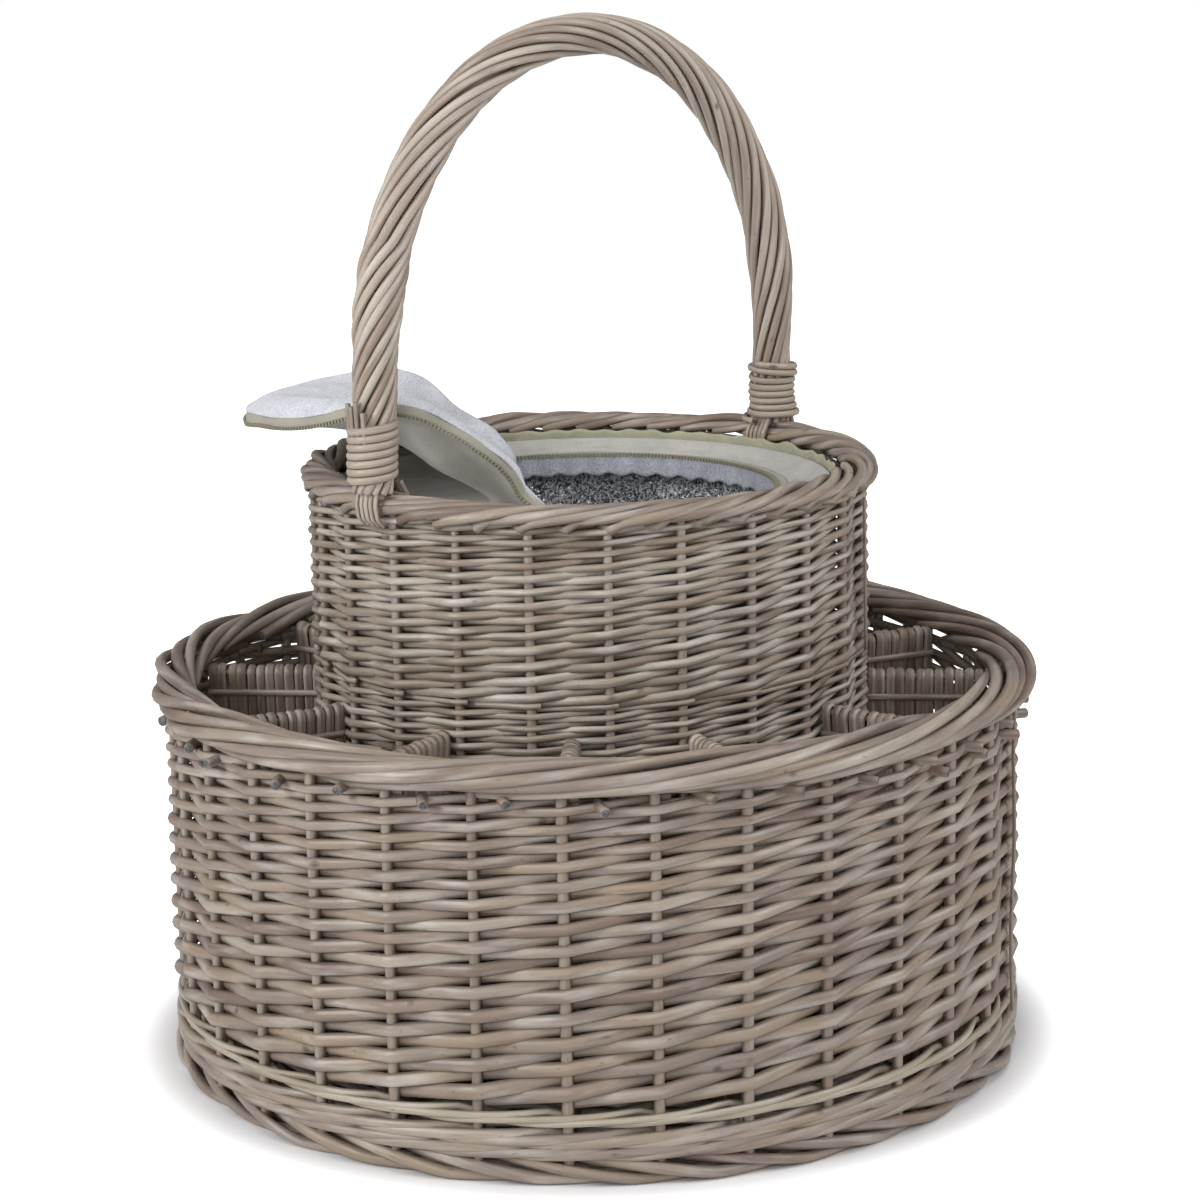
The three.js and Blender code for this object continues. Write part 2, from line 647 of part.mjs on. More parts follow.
// top panel of the cooler: flat round the mouth and rising to the collar, cut to the arc and seam of the mouth
const mouth = new THREE.Group();
const mouthAngle = MOUTH_OFFSET_ANGLE * DEGREE;
mouth.position.copy(around(mouthAngle, MOUTH_OFFSET, PANEL_HEIGHT));
mouth.rotation.z = LID_TURN * DEGREE;
basket.add(mouth);
mouth.updateMatrix();

const panelFlat = PANEL_OPENING + MOUTH_OFFSET + ROOM;
const panelEdge = BAG_RADIUS - FIT;
const panelDisc = lathe([
  new THREE.Vector2(0, panelBottom),
  new THREE.Vector2(panelFlat, panelBottom),
  new THREE.Vector2(panelEdge, panelBottom + PANEL_RIM_RISE),
  new THREE.Vector2(panelEdge, PANEL_HEIGHT + PANEL_RIM_RISE),
  new THREE.Vector2(panelFlat, PANEL_HEIGHT),
  new THREE.Vector2(0, PANEL_HEIGHT),
], ROUND);
const mouthShape = new THREE.Shape();
const seamAngle = Math.acos(-LID_SEAM / PANEL_OPENING);
mouthShape.absarc(0, 0, PANEL_OPENING, -seamAngle, seamAngle, false);
mouthShape.closePath();
const mouthCut = new THREE.ExtrudeGeometry(mouthShape, {
  depth: 4 * PANEL_THICKNESS,
  bevelEnabled: false,
  curveSegments: 18,
}).translate(0, 0, -2 * PANEL_THICKNESS).applyMatrix4(mouth.matrix);
addPiece('top_panel', toGeometry(toSolid(panelDisc).subtract(toSolid(mouthCut))), coolerCloth);

// A flat band along an arc round the mouth, lying in the panel's own plane.
function arcBand(inside, outside, from, to, thickness, segments) {
  const band = new THREE.Shape();
  band.absarc(0, 0, outside, from, to, false);
  band.absarc(0, 0, inside, to, from, true);
  band.closePath();
  return new THREE.ExtrudeGeometry(band, {
    depth: thickness,
    bevelEnabled: false,
    curveSegments: segments,
  }).translate(0, 0, -thickness);
}
const tapeEnd = Math.acos((-LID_SEAM + ROOM) / TAPE_OUTSIDE);
addPiece('zip_tape', arcBand(
  TAPE_INSIDE, TAPE_OUTSIDE, -tapeEnd, tapeEnd, PANEL_THICKNESS, 18,
), zipTape, mouth);
addPiece('mouth_binding', arcBand(
  TAPE_INSIDE, TAPE_INSIDE + BINDING_THICKNESS, -tapeEnd, tapeEnd, BINDING_HEIGHT, 18,
).translate(0, 0, -PANEL_THICKNESS - FIT), whiteLining, mouth);

// lid: inner half on the hinge seam, tip on the fold line, each with cloth, lining and zip tape
const lid = new THREE.Group();
lid.position.x = -LID_SEAM;
lid.rotation.y = -LID_OPEN * DEGREE;
mouth.add(lid);
const lidTip = new THREE.Group();
lidTip.position.x = LID_SEAM + LID_FOLD;
lidTip.rotation.y = -LID_TIP_OPEN * DEGREE;
lid.add(lidTip);

const lidTapeOutside = MOUTH_RADIUS - FIT;
const lidTapeInside = lidTapeOutside - TAPE_WIDTH + FIT;
const lidRadius = lidTapeInside - FIT;

function lidPlate(radius, thickness, depth) {
  const seam = Math.acos((-LID_SEAM + FIT) / radius);
  const fold = Math.acos((LID_FOLD - FIT) / radius);
  const plate = new THREE.Shape();
  plate.absarc(0, 0, radius, -seam, -fold, false);
  plate.absarc(0, 0, radius, fold, seam, false);
  plate.closePath();
  return new THREE.ExtrudeGeometry(plate, { depth: thickness, bevelEnabled: false, curveSegments: 8 })
    .translate(LID_SEAM, 0, -depth - thickness);
}
function tipPlate(radius, thickness, depth) {
  const fold = Math.acos((LID_FOLD + FIT) / radius);
  const plate = new THREE.Shape();
  plate.absarc(0, 0, radius, -fold, fold, false);
  plate.closePath();
  return new THREE.ExtrudeGeometry(plate, { depth: thickness, bevelEnabled: false, curveSegments: 16 })
    .translate(-LID_FOLD, 0, -depth - thickness);
}
const liningDepth = LID_THICKNESS + FIT;
addPiece('lid_panel', lidPlate(lidRadius, LID_THICKNESS, 0), coolerCloth, lid);
addPiece('lid_lining', lidPlate(lidRadius, LINING_THICKNESS, liningDepth), whiteLining, lid);
addPiece('lid_tip_panel', tipPlate(lidRadius, LID_THICKNESS, 0), coolerCloth, lidTip);
addPiece('lid_tip_lining', tipPlate(lidRadius, LINING_THICKNESS, liningDepth), whiteLining, lidTip);

const seamTapeEnd = Math.acos((-LID_SEAM + ROOM) / lidTapeOutside);
const foldTapeEnd = Math.acos((LID_FOLD - ROOM) / lidTapeOutside);
const innerTape = (from, to) =>
  arcBand(lidTapeInside, lidTapeOutside, from, to, LID_THICKNESS, 8).translate(LID_SEAM, 0, 0);
addPiece('lid_tape_near', innerTape(-seamTapeEnd, -foldTapeEnd), zipTape, lid);
addPiece('lid_tape_far', innerTape(foldTapeEnd, seamTapeEnd), zipTape, lid);
const tipTapeEnd = Math.acos((LID_FOLD + ROOM) / lidTapeInside);
addPiece('lid_tip_tape', arcBand(
  lidTapeInside, lidTapeOutside, -tipTapeEnd, tipTapeEnd, LID_THICKNESS, 16,
).translate(-LID_FOLD, 0, 0), zipTape, lidTip);

// zip slider and its pull, parked a little way along the zip from the near end of the seam
const slider = new THREE.Group();
const sliderRadius = (TAPE_INSIDE + TAPE_OUTSIDE) / 2;
slider.rotation.z = -Math.acos((SLIDER_PLACE - LID_SEAM) / sliderRadius);
mouth.add(slider);
const sliderWidth = TAPE_OUTSIDE - TAPE_INSIDE;
const sliderShape = new THREE.Shape([
  new THREE.Vector2(-0.5 * sliderWidth, -0.5 * SLIDER_LENGTH),
  new THREE.Vector2(0.5 * sliderWidth, -0.5 * SLIDER_LENGTH),
  new THREE.Vector2((SLIDER_WAIST / 2) * sliderWidth, 0),
  new THREE.Vector2(0.5 * sliderWidth, 0.5 * SLIDER_LENGTH),
  new THREE.Vector2(-0.5 * sliderWidth, 0.5 * SLIDER_LENGTH),
  new THREE.Vector2(-(SLIDER_WAIST / 2) * sliderWidth, 0),
]);
addPiece('zip_slider', new THREE.ExtrudeGeometry(sliderShape, { depth: SLIDER_HEIGHT, bevelEnabled: false })
  .translate(sliderRadius, 0, FIT), zipMetal, slider);

const pullShape = new THREE.Shape();
pullShape.moveTo(-PULL_WIDTH / 2, 0);
pullShape.lineTo(PULL_WIDTH / 2, 0);
pullShape.lineTo(PULL_WIDTH / 2, PULL_LENGTH - PULL_WIDTH / 2);
pullShape.absarc(0, PULL_LENGTH - PULL_WIDTH / 2, PULL_WIDTH / 2, 0, Math.PI, false);
pullShape.closePath();
const pullEye = new THREE.Path();
pullEye.absarc(0, PULL_LENGTH - PULL_WIDTH / 2, PULL_WIDTH / 4, 0, FULL_TURN, true);
pullShape.holes.push(pullEye);
addPiece('zip_pull', new THREE.ExtrudeGeometry(pullShape, {
  depth: PULL_THICKNESS,
  bevelEnabled: false,
  curveSegments: 6,
}).translate(sliderRadius, 0, 2 * FIT + SLIDER_HEIGHT), zipMetal, slider);

export default basket;
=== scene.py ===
import math
import random

import bpy
import numpy as np
from mathutils import Matrix, Vector


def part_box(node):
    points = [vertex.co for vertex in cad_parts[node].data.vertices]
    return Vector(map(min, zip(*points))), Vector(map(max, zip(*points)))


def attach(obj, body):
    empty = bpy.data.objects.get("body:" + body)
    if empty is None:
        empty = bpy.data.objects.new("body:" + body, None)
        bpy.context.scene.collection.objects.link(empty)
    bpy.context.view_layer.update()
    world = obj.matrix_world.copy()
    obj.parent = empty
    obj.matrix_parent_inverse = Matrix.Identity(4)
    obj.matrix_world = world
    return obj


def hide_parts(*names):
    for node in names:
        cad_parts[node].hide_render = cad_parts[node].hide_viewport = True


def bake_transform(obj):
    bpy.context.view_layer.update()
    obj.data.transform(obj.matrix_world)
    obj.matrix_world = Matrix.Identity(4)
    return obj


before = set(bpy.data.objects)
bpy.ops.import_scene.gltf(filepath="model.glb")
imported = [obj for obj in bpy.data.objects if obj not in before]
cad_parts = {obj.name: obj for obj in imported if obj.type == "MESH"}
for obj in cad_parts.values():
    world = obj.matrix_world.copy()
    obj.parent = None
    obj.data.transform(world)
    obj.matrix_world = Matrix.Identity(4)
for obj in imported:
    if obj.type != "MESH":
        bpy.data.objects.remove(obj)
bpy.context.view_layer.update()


# The studio: a white floor that keeps the soft shadow of the basket, large soft lights from the left, the
# right, the front and above, and the camera at the photograph's height and turn.
TURN = 2 * math.pi
CAMERA_TURN = math.radians(-44)
CAMERA_YAW = math.radians(-0.176)
CAMERA_PITCH = math.radians(12.486)
CAMERA_ROLL = math.radians(-0.932)
CAMERA_DISTANCE = 1.6959
CAMERA_HEIGHT = 0.6268
CAMERA_LENS = 92.18
SENSOR = 36
LIGHT_AIM_HEIGHT = 0.25
SKY_LIGHT = 0.26
FLOOR_SIZE = 12
SHADOW_RADIUS = 0.238
WHITE_RADIUS = 0.29


def around(angle, radius, height):
    """Points at angles round the basket, measured from -Y towards +X."""
    angle, radius, height = np.broadcast_arrays(angle, radius, height)
    return np.stack([radius * np.sin(angle), -radius * np.cos(angle), height], axis=-1)


def put_in_scene(name, data):
    thing = bpy.data.objects.new(name, data)
    bpy.context.scene.collection.objects.link(thing)
    return thing


camera = put_in_scene("camera", bpy.data.cameras.new("camera"))
camera.data.sensor_width = SENSOR
camera.data.lens = CAMERA_LENS
camera.matrix_world = (
    Matrix.Translation(around(CAMERA_TURN, CAMERA_DISTANCE, CAMERA_HEIGHT))
    @ Matrix.Rotation(CAMERA_TURN + CAMERA_YAW, 4, "Z")
    @ Matrix.Rotation(math.pi / 2 - CAMERA_PITCH, 4, "X")
    @ Matrix.Rotation(CAMERA_ROLL, 4, "Z")
)
bpy.context.scene.camera = camera
bpy.context.scene.view_settings.view_transform = "Standard"


def soft_light(name, turn, height, distance, size, power):
    lamp = bpy.data.lights.new(name, "AREA")
    lamp.size = size
    lamp.energy = power
    light = put_in_scene(name, lamp)
    light.location = around(turn + CAMERA_TURN, distance, height)
    aim = Vector((0, 0, LIGHT_AIM_HEIGHT)) - light.location
    light.rotation_euler = aim.to_track_quat("-Z", "Y").to_euler()


soft_light("light_left", math.radians(-60), height=1.1, distance=1.9, size=0.8, power=22)
soft_light("light_right", math.radians(64), height=1.2, distance=1.9, size=0.9, power=15)
soft_light("light_front", math.radians(-12), height=1.0, distance=2.4, size=1.0, power=11)
soft_light("light_above", math.radians(20), height=2.2, distance=0.5, size=1.4, power=12)


def new_finish(name):
    """A material, its node tree and its surface shader."""
    finish = bpy.data.materials.new(name)
    finish.use_nodes = True
    return finish, finish.node_tree, finish.node_tree.nodes["Principled BSDF"]


def feed(tree, node, inputs):
    """Sets a node's inputs, by name or number, to values or to outputs of other nodes."""
    for name, value in inputs.items():
        if isinstance(value, bpy.types.NodeSocket):
            tree.links.new(value, node.inputs[name])
        else:
            node.inputs[name].default_value = value


def add_node(tree, kind, inputs=None, **settings):
    """Adds a node to a finish and returns its outputs."""
    node = tree.nodes.new(kind)
    for name, value in settings.items():
        setattr(node, name, value)
    feed(tree, node, inputs or {})
    return node.outputs


def work_out(tree, operation, *values):
    return add_node(tree, "ShaderNodeMath", dict(enumerate(values)), operation=operation)[0]


world = bpy.data.worlds.new("studio")
bpy.context.scene.world = world
world.use_nodes = True
sky = world.node_tree
seen = add_node(sky, "ShaderNodeLightPath")["Is Camera Ray"]
shine = work_out(sky, "MULTIPLY_ADD", seen, 1 - SKY_LIGHT, SKY_LIGHT)
feed(sky, sky.nodes["Background"], {"Strength": shine, "Color": (1, 1, 1, 1)})

bpy.ops.mesh.primitive_plane_add(size=FLOOR_SIZE)
floor = bpy.context.object
floor.name = "floor"
white, tree, paint = new_finish("studio_floor")
feed(tree, paint, {"Base Color": (0.86, 0.86, 0.87, 1), "Roughness": 1, "Specular IOR Level": 0})
seen = add_node(tree, "ShaderNodeLightPath")["Is Camera Ray"]
place = add_node(tree, "ShaderNodeTexCoord")["Object"]
reach = add_node(tree, "ShaderNodeVectorMath", {0: place}, operation="LENGTH")["Value"]
fade = add_node(tree, "ShaderNodeMapRange", {
    "Value": reach, "From Min": SHADOW_RADIUS, "From Max": WHITE_RADIUS,
}, interpolation_type="SMOOTHSTEP")[0]
glow = add_node(tree, "ShaderNodeEmission", {"Strength": work_out(tree, "MULTIPLY", seen, fade)})[0]
both = add_node(tree, "ShaderNodeAddShader", {0: paint.outputs[0], 1: glow})[0]
feed(tree, tree.nodes["Material Output"], {"Surface": both})
floor.data.materials.append(white)


# Foot border: the ends of the lower uprights, bent out under the wale and rolled down to the right, one
# over the other. Antique washed willow rods, kept level where the basket stands on them.
STAKES = 32
STAKE_PITCH = TURN / STAKES
FIRST_STAKE = math.radians(-2.7)
FOOT_ROD = 0.0068
FOOT_WIDTH = 0.028
FOOT_OVERLAP = 0.0042
BORDER_TIP = 0.8
ROD_TIP = 0.82
ROD_TIP_LENGTH = 0.2
BARK_SHIFT = 40
CUT_EDGE = math.radians(75)
BARK_ROUGHNESS = 0.27


def outwards(angle):
    return around(angle, 1.0, 0.0)


def unit(directions):
    return directions / np.linalg.norm(directions, axis=1)[:, None]


def run_along(points):
    """The distance of each point of a line from its start."""
    return np.concatenate([[0], np.cumsum(np.linalg.norm(np.diff(points, axis=0), axis=1))])


def take_place(piece, slot, *nodes):
    """Lets a piece ride the basket in place of these nodes of the frame."""
    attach(piece, "basket")
    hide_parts(*nodes)


def cut_rod(points, out, deep, wide, tone, cut=True):
    """A rod: its points, the directions that face out, its thickness along those directions (deep) and
    across them (wide), a tone from 0 to 1 that its bark is coloured by, and whether its cut ends show."""
    return {"points": points, "out": out, "deep": deep, "wide": wide, "tone": tone, "cut": cut}


def rod_rings(rod, spread):
    """Rings of points round a rod, narrower at its two ends, and the distance of each ring along it."""
    points = np.asarray(rod["points"], float)
    deep, wide = (np.broadcast_to(rod[way], len(points)) / 2 for way in ("deep", "wide"))
    forward = unit(np.gradient(points, axis=0))
    side = unit(np.cross(forward, np.broadcast_to(rod["out"], points.shape)))
    out = np.cross(side, forward)
    start = points[0] - forward[0] * deep[0] * ROD_TIP_LENGTH
    end = points[-1] + forward[-1] * deep[-1] * ROD_TIP_LENGTH
    points = np.vstack([start, points, end])
    out, side = (np.vstack([way[:1], way, way[-1:]]) for way in (out, side))
    deep, wide = (np.concatenate([[half[0] * ROD_TIP], half, [half[-1] * ROD_TIP]]) for half in (deep, wide))
    rings = points[:, None] + out[:, None] * (deep[:, None] * np.cos(spread))[..., None]
    rings += side[:, None] * (wide[:, None] * np.sin(spread))[..., None]
    return rings, run_along(points)


def lay_rods(name, rods, bark, slot, *nodes, sides=8):
    """One piece of willow rods, which rides the basket in place of these nodes of the frame."""
    vertices, faces, along_rod, tones, cut_faces = [], [], [], [], []
    corner = np.arange(sides)
    following = (corner + 1) % sides
    spread = np.pi + corner / sides * TURN
    first = 0
    for rod in rods:
        rings, run = rod_rings(rod, spread)
        run = run + rod["tone"] * BARK_SHIFT
        rows = len(rings)
        base = first + np.arange(rows - 1)[:, None] * sides
        quads = np.stack(
            [base + corner, base + following, base + sides + following, base + sides + corner], axis=-1
        )
        low, high = run[:-1, None] + 0 * corner, run[1:, None] + 0 * corner
        near, far = corner / sides + 0 * low, (corner + 1) / sides + 0 * low
        uv = np.stack([low, near, low, far, high, far, high, near], axis=-1)
        vertices.append(rings.reshape(-1, 3))
        faces.extend(quads.reshape(-1, 4).tolist())
        along_rod.append(uv.reshape(-1, 2))
        if rod["cut"]:
            cut_faces += [len(faces), len(faces) + 1]
        faces.append([first + i for i in reversed(range(sides))])
        faces.append([first + (rows - 1) * sides + i for i in range(sides)])
        round_face = np.stack([run[0] + np.cos(spread) / 100, 0.5 + np.sin(spread) / 3], axis=-1)
        along_rod += [round_face[::-1], round_face]
        tones.append(np.full(rows * sides, rod["tone"]))
        first += rows * sides
    mesh = bpy.data.meshes.new(name)
    mesh.from_pydata(np.vstack(vertices).tolist(), [], faces)
    mesh.uv_layers.new(name="rod").uv.foreach_set("vector", np.vstack(along_rod).ravel())
    mesh.attributes.new("tone", "FLOAT", "POINT").data.foreach_set("value", np.concatenate(tones))
    mesh.shade_smooth()
    mesh.set_sharp_from_angle(angle=CUT_EDGE)
    mesh.materials.append(bark)
    if cut_faces:
        mesh.materials.append(end_grain)
        for face in cut_faces:
            mesh.polygons[face].material_index = 1
    take_place(put_in_scene(name, mesh), slot, *nodes)


def colour(red, green, blue):
    """A colour given as it looks on a screen, from 0 to 255, for a shader."""
    return tuple(((c / 255 + 0.055) / 1.055) ** 2.4 for c in (red, green, blue)) + (1,)


def colour_ramp(tree, share, stops):
    """Colours for a share from 0 to 1, between stops that are each a place and a colour."""
    ramp = tree.nodes.new("ShaderNodeValToRGB")
    marks = ramp.color_ramp.elements
    while len(marks) < len(stops):
        marks.new(0.5)
    for i, (position, shade) in enumerate(stops):
        marks[i].position = position
        marks[i].color = colour(*shade)
    tree.links.new(share, ramp.inputs[0])
    return ramp.outputs[0]


def noise(tree, place, scale, detail):
    return add_node(tree, "ShaderNodeTexNoise", {"Vector": place, "Scale": scale, "Detail": detail})[0]


def bumps(tree, height, strength, distance):
    return add_node(tree, "ShaderNodeBump", {"Height": height, "Strength": strength, "Distance": distance})[0]


def willow(name, shades, wash_and_sheen=0.5, crevice_shade=0.6):
    """Bark of washed willow: the rod's own shade, long streaks, pale patches of whitewash that also serve as
    painted highlight streaks, painted shade on the flanks where rods lie side by side, small dark buds and
    flecks."""
    bark, tree, surface = new_finish(name)

    def sum_of(operation, *values):
        return work_out(tree, operation, *values)

    def mix(share, under, shade):
        colours = {0: share, 6: under, 7: colour(*shade)}
        return add_node(tree, "ShaderNodeMix", colours, data_type="RGBA")[2]

    def layer(under, pattern, start, gain, strength, shade):
        """Lays a shade over the ones under it, where the pattern is above its start."""
        share = sum_of("MULTIPLY", sum_of("SUBTRACT", pattern, start), gain)
        share = sum_of("MINIMUM", sum_of("MAXIMUM", share, 0.0), 1.0)
        return mix(sum_of("MULTIPLY", share, strength), under, shade)

    def stretched(along, across, shift=0.0):
        return add_node(tree, "ShaderNodeMapping", {
            0: place, "Scale": (along, across, 1), "Location": (shift, shift, shift),
        })[0]

    def grain(along, across, detail, shift=0.0):
        return noise(tree, stretched(along, across, shift), 1, detail)

    place = add_node(tree, "ShaderNodeUVMap", uv_map="rod")[0]
    tone = add_node(tree, "ShaderNodeAttribute", attribute_name="tone")["Fac"]
    drift = sum_of("MULTIPLY_ADD", grain(along=9, across=0.7, detail=2), 1.1, -0.55)
    stops = [(i / (len(shades) - 1), shade) for i, shade in enumerate(shades)]
    look = colour_ramp(tree, sum_of("ADD", tone, drift), stops)
    streaks = grain(along=34, across=8, detail=5, shift=3.1)
    look = layer(look, streaks, start=0.48, gain=3.2, strength=0.42, shade=(96, 80, 70))
    # Pale whitewash left on the bark, laid on strongly enough to serve as painted highlight streaks as well.
    patches = grain(along=26, across=3.0, detail=6, shift=7.7)
    look = layer(look, patches, start=0.5, gain=4.0, strength=wash_and_sheen, shade=(216, 211, 203))

    # Painted shade: the flanks of each rod, where rods lie side by side, are darkened towards deep brown as
    # if shaded.
    across = add_node(tree, "ShaderNodeSeparateXYZ", {0: place})["Y"]
    from_back = sum_of("ABSOLUTE", sum_of("SUBTRACT", across, 0.5))
    from_flank = sum_of("ABSOLUTE", sum_of("SUBTRACT", from_back, 0.25))
    flank = sum_of("SUBTRACT", 1.0, sum_of("MULTIPLY", from_flank, 4.0))
    look = layer(look, flank, start=0.5, gain=2.0, strength=crevice_shade, shade=(80, 68, 60))

    spots = {"Vector": stretched(along=34, across=1.0), "Scale": 1}
    from_spot = add_node(tree, "ShaderNodeTexVoronoi", spots)["Distance"]
    bud = sum_of("MAXIMUM", sum_of("SUBTRACT", 1.0, sum_of("MULTIPLY", from_spot, 9.0)), 0.0)
    look = mix(sum_of("MULTIPLY", bud, 0.8), look, (46, 38, 34))
    flecks = grain(along=160, across=7, detail=2, shift=5.3)
    look = layer(look, flecks, start=0.69, gain=9.0, strength=0.6, shade=(60, 50, 44))

    relief = sum_of("ADD", streaks, sum_of("MULTIPLY", patches, 0.6))
    relief = sum_of("ADD", relief, sum_of("MULTIPLY", bud, 1.5))
    feed(tree, surface, {
        "Base Color": look,
        "Specular IOR Level": 0.6,
        "Roughness": sum_of("MULTIPLY_ADD", streaks, 0.3, BARK_ROUGHNESS),
        "Normal": bumps(tree, relief, strength=0.7, distance=0.0006),
    })
    return bark


def cut_wood():
    """The weathered grey end of a cut rod, in darker and paler spots."""
    wood, tree, surface = new_finish("cut_rod_end")
    place = add_node(tree, "ShaderNodeTexCoord")["Object"]
    grain = noise(tree, place, scale=900, detail=3)
    greys = colour_ramp(tree, grain, [(0.35, (66, 68, 68)), (0.7, (128, 130, 128))])
    feed(tree, surface, {"Base Color": greys, "Roughness": 0.85})
    return wood


end_grain = cut_wood()
tan_willow = willow("tan_willow", [
    (124, 106, 94), (149, 131, 116), (138, 126, 117), (156, 137, 117), (158, 145, 132), (142, 127, 117),
    (171, 158, 144),
])


def rolled_border(count, first, box, rod, start, end, per_turn, seed, ground=-1.0, slack=0.0007, wander=0):
    """Rods of a rolled border. Each sets out at its upright and winds on round a ring of the given box:
    outside radius, width, bottom and height. start and end are places round the section, 0 is outside."""
    draw = random.Random(seed)
    outside, width, bottom, height = box
    share = np.linspace(0, 1, 40)
    span = abs(end - start) / per_turn
    rods = []
    for k in range(count):
        thickness = rod * draw.uniform(0.84, 1.1)
        section = start + (end - start) * share
        if wander:
            section = section + wander * np.sin(draw.uniform(0, TURN) + share * draw.uniform(4, 9))
        turn = first + k * TURN / count + span * share
        loose = slack * (k % 2 - 0.5 + np.sin(draw.uniform(0, TURN) + share * draw.uniform(3, 8)))
        across = (width - rod) / 2 + loose
        rise = (height - rod) / 2 + loose
        radius = outside - width / 2 + across * np.cos(section)
        level = bottom + height / 2 + rise * np.sin(section)
        thick = thickness * np.interp(share, [0, 0.75, 1], [1, 0.97, BORDER_TIP])
        points = around(turn, radius, np.maximum(level, ground + thick / 2))
        out = around(turn, np.cos(section), np.sin(section))
        rods.append(cut_rod(points, out, thick * 0.96, thick * 1.02, draw.random()))
    return rods


def lead_in(rods, first, back, radius, height):
    """Lets each rod of a border come up to its roll through three points, so far back from its upright."""
    for k, rod in enumerate(rods):
        turn = first + k * TURN / len(rods)
        start = around(turn - np.array(back), radius, height)
        rod["points"] = np.vstack([start, rod["points"][1:]])
        rod["out"] = np.vstack([np.tile(outwards(turn), (3, 1)), rod["out"][1:]])
        for way in ("deep", "wide"):
            rod[way] = np.concatenate([[rod[way][0]] * 2, rod[way]])


low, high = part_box("foot_border")
rods = rolled_border(
    STAKES, FIRST_STAKE, (high.x, FOOT_WIDTH, -FOOT_OVERLAP, high.z + FOOT_OVERLAP), FOOT_ROD,
    start=math.radians(80), end=math.radians(-185), per_turn=5.6, seed=3, ground=0.0,
)
lead_in(rods, FIRST_STAKE, back=[0.006, 0.005, 0.0], radius=0.2318, height=[0.03, 0.021, 0.0165])
lay_rods("foot_border_rods", rods, tan_willow, "willow", "foot_border")


# Base: a round of weavers on a star of thick sticks. It is seen from below and down the compartments.
BASE_ROD = 0.0062
BASE_ROD_HIGH = 0.0042
BASE_SWAY = 0.0019
BASE_HUB = 0.022
STICKS = 16
STICK_DEEP = 0.005
STICK_WIDE = 0.0044
STICK_SHIFT = 0.0021
UP = np.array([0, 0, 1.0])
low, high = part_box("base_weave")
base_middle = (low.z + high.z) / 2
draw = random.Random(5)
rods = []
for ring in range(int((high.x - BASE_HUB) / BASE_ROD)):
    radius = high.x - BASE_ROD * (ring + 0.5)
    turn = np.linspace(0, TURN, STICKS * 8 + 1)
    sway = BASE_SWAY * np.cos(turn * STICKS + math.pi * ring)
    points = around(turn, radius + 0 * turn, base_middle + sway)
    rods.append(cut_rod(points, outwards(turn), BASE_ROD, BASE_ROD_HIGH, draw.random(), cut=False))
lay_rods("base_weavers", rods, tan_willow, "willow", "base_weave", sides=6)

low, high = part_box("base_sticks")
rods = []
for stick in range(STICKS // 2):
    turn = stick / STICKS * TURN
    reach = np.linspace(-high.x, high.x, 9)[:, None] * outwards(turn)
    for shift in (-STICK_SHIFT, STICK_SHIFT):
        aside = outwards(turn + math.pi / 2) * shift
        points = reach + aside + UP * (low.z + high.z) / 2
        rods.append(cut_rod(points, UP, STICK_DEEP, STICK_WIDE, draw.random()))
lay_rods("base_stick_star", rods, tan_willow, "willow", "base_sticks", sides=6)


# Bottom wale: rounds of three-rod wale that set the uprights. Each rod passes in front of two uprights and
# behind one. Two rounds are of heavy rods, and the one above them of thin pale ones.
WALL_STAKE = 0.006
WALL_SWAY = 0.0037
WALE_RODS = 3
low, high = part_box("lower_wall")
wall_radius = high.x + 0.002
stake_radius = wall_radius - WALL_SWAY - 0.0025


def wale_round(bottom, rod, lift, seed):
    draw = random.Random(seed)
    share = np.linspace(0.1, STAKES + 0.4, STAKES * 8)
    rods = []
    for weaver in range(WALE_RODS):
        phase = (share - weaver) % WALE_RODS
        gap = np.minimum(phase, WALE_RODS - phase)
        radial = WALL_SWAY * (1 - 2 * np.exp(-((gap / 0.5) ** 2)))
        climb = np.interp(phase, [0, 0.25, WALE_RODS - 0.25, WALE_RODS], [0.5, 0, 1, 0.5])
        wobble = 0.0003 * np.sin(share * 1.7 + draw.uniform(0, TURN))
        level = bottom + rod / 2 + lift * climb + wobble
        turn = FIRST_STAKE + math.pi + share * TURN / STAKES
        thick = rod * (1 + 0.06 * np.sin(share * 0.9 + draw.uniform(0, TURN)))
        points = around(turn, stake_radius + radial, level)
        rods.append(cut_rod(points, outwards(turn), thick * 0.9, thick, draw.random(), cut=False))
    return rods


rods = wale_round(bottom=0.0172, rod=0.0062, lift=0.0074, seed=11)
rods += wale_round(bottom=0.0112, rod=0.006, lift=0.0066, seed=13)
lay_rods("bottom_wale_heavy", rods, tan_willow, "willow", "bottom_wale")
pale_willow = willow("pale_thin_willow", [
    (150, 138, 119), (166, 154, 135), (178, 169, 150), (160, 146, 129),
])
rods = wale_round(bottom=0.0296, rod=0.0042, lift=0.0062, seed=12)
lay_rods("bottom_wale_thin", rods, pale_willow, "willow", "bottom_wale")


# Lower wall: English randing. One tapered weaver starts at each upright, thick end first, and climbs over
# the ones that started before it, in front of one upright and behind the next, up to the border.
BEND = 0.05
WALL_ROWS = 29
WALL_BUTT = 0.007
WALL_TIP = 0.0043
WALL_BOTTOM = 0.0385
STAKE_BOTTOM = 0.006
STRAY_TURN = math.radians(28)


def zigzag(share):
    """Goes straight from -1 at even shares to 1 at odd ones, with a tight bend at each."""
    distance = np.abs((share + 1) % 2 - 1)
    near, far = np.hypot(distance, BEND), np.hypot(1 - distance, BEND)
    return (near - far) / (math.hypot(1, BEND) - BEND)


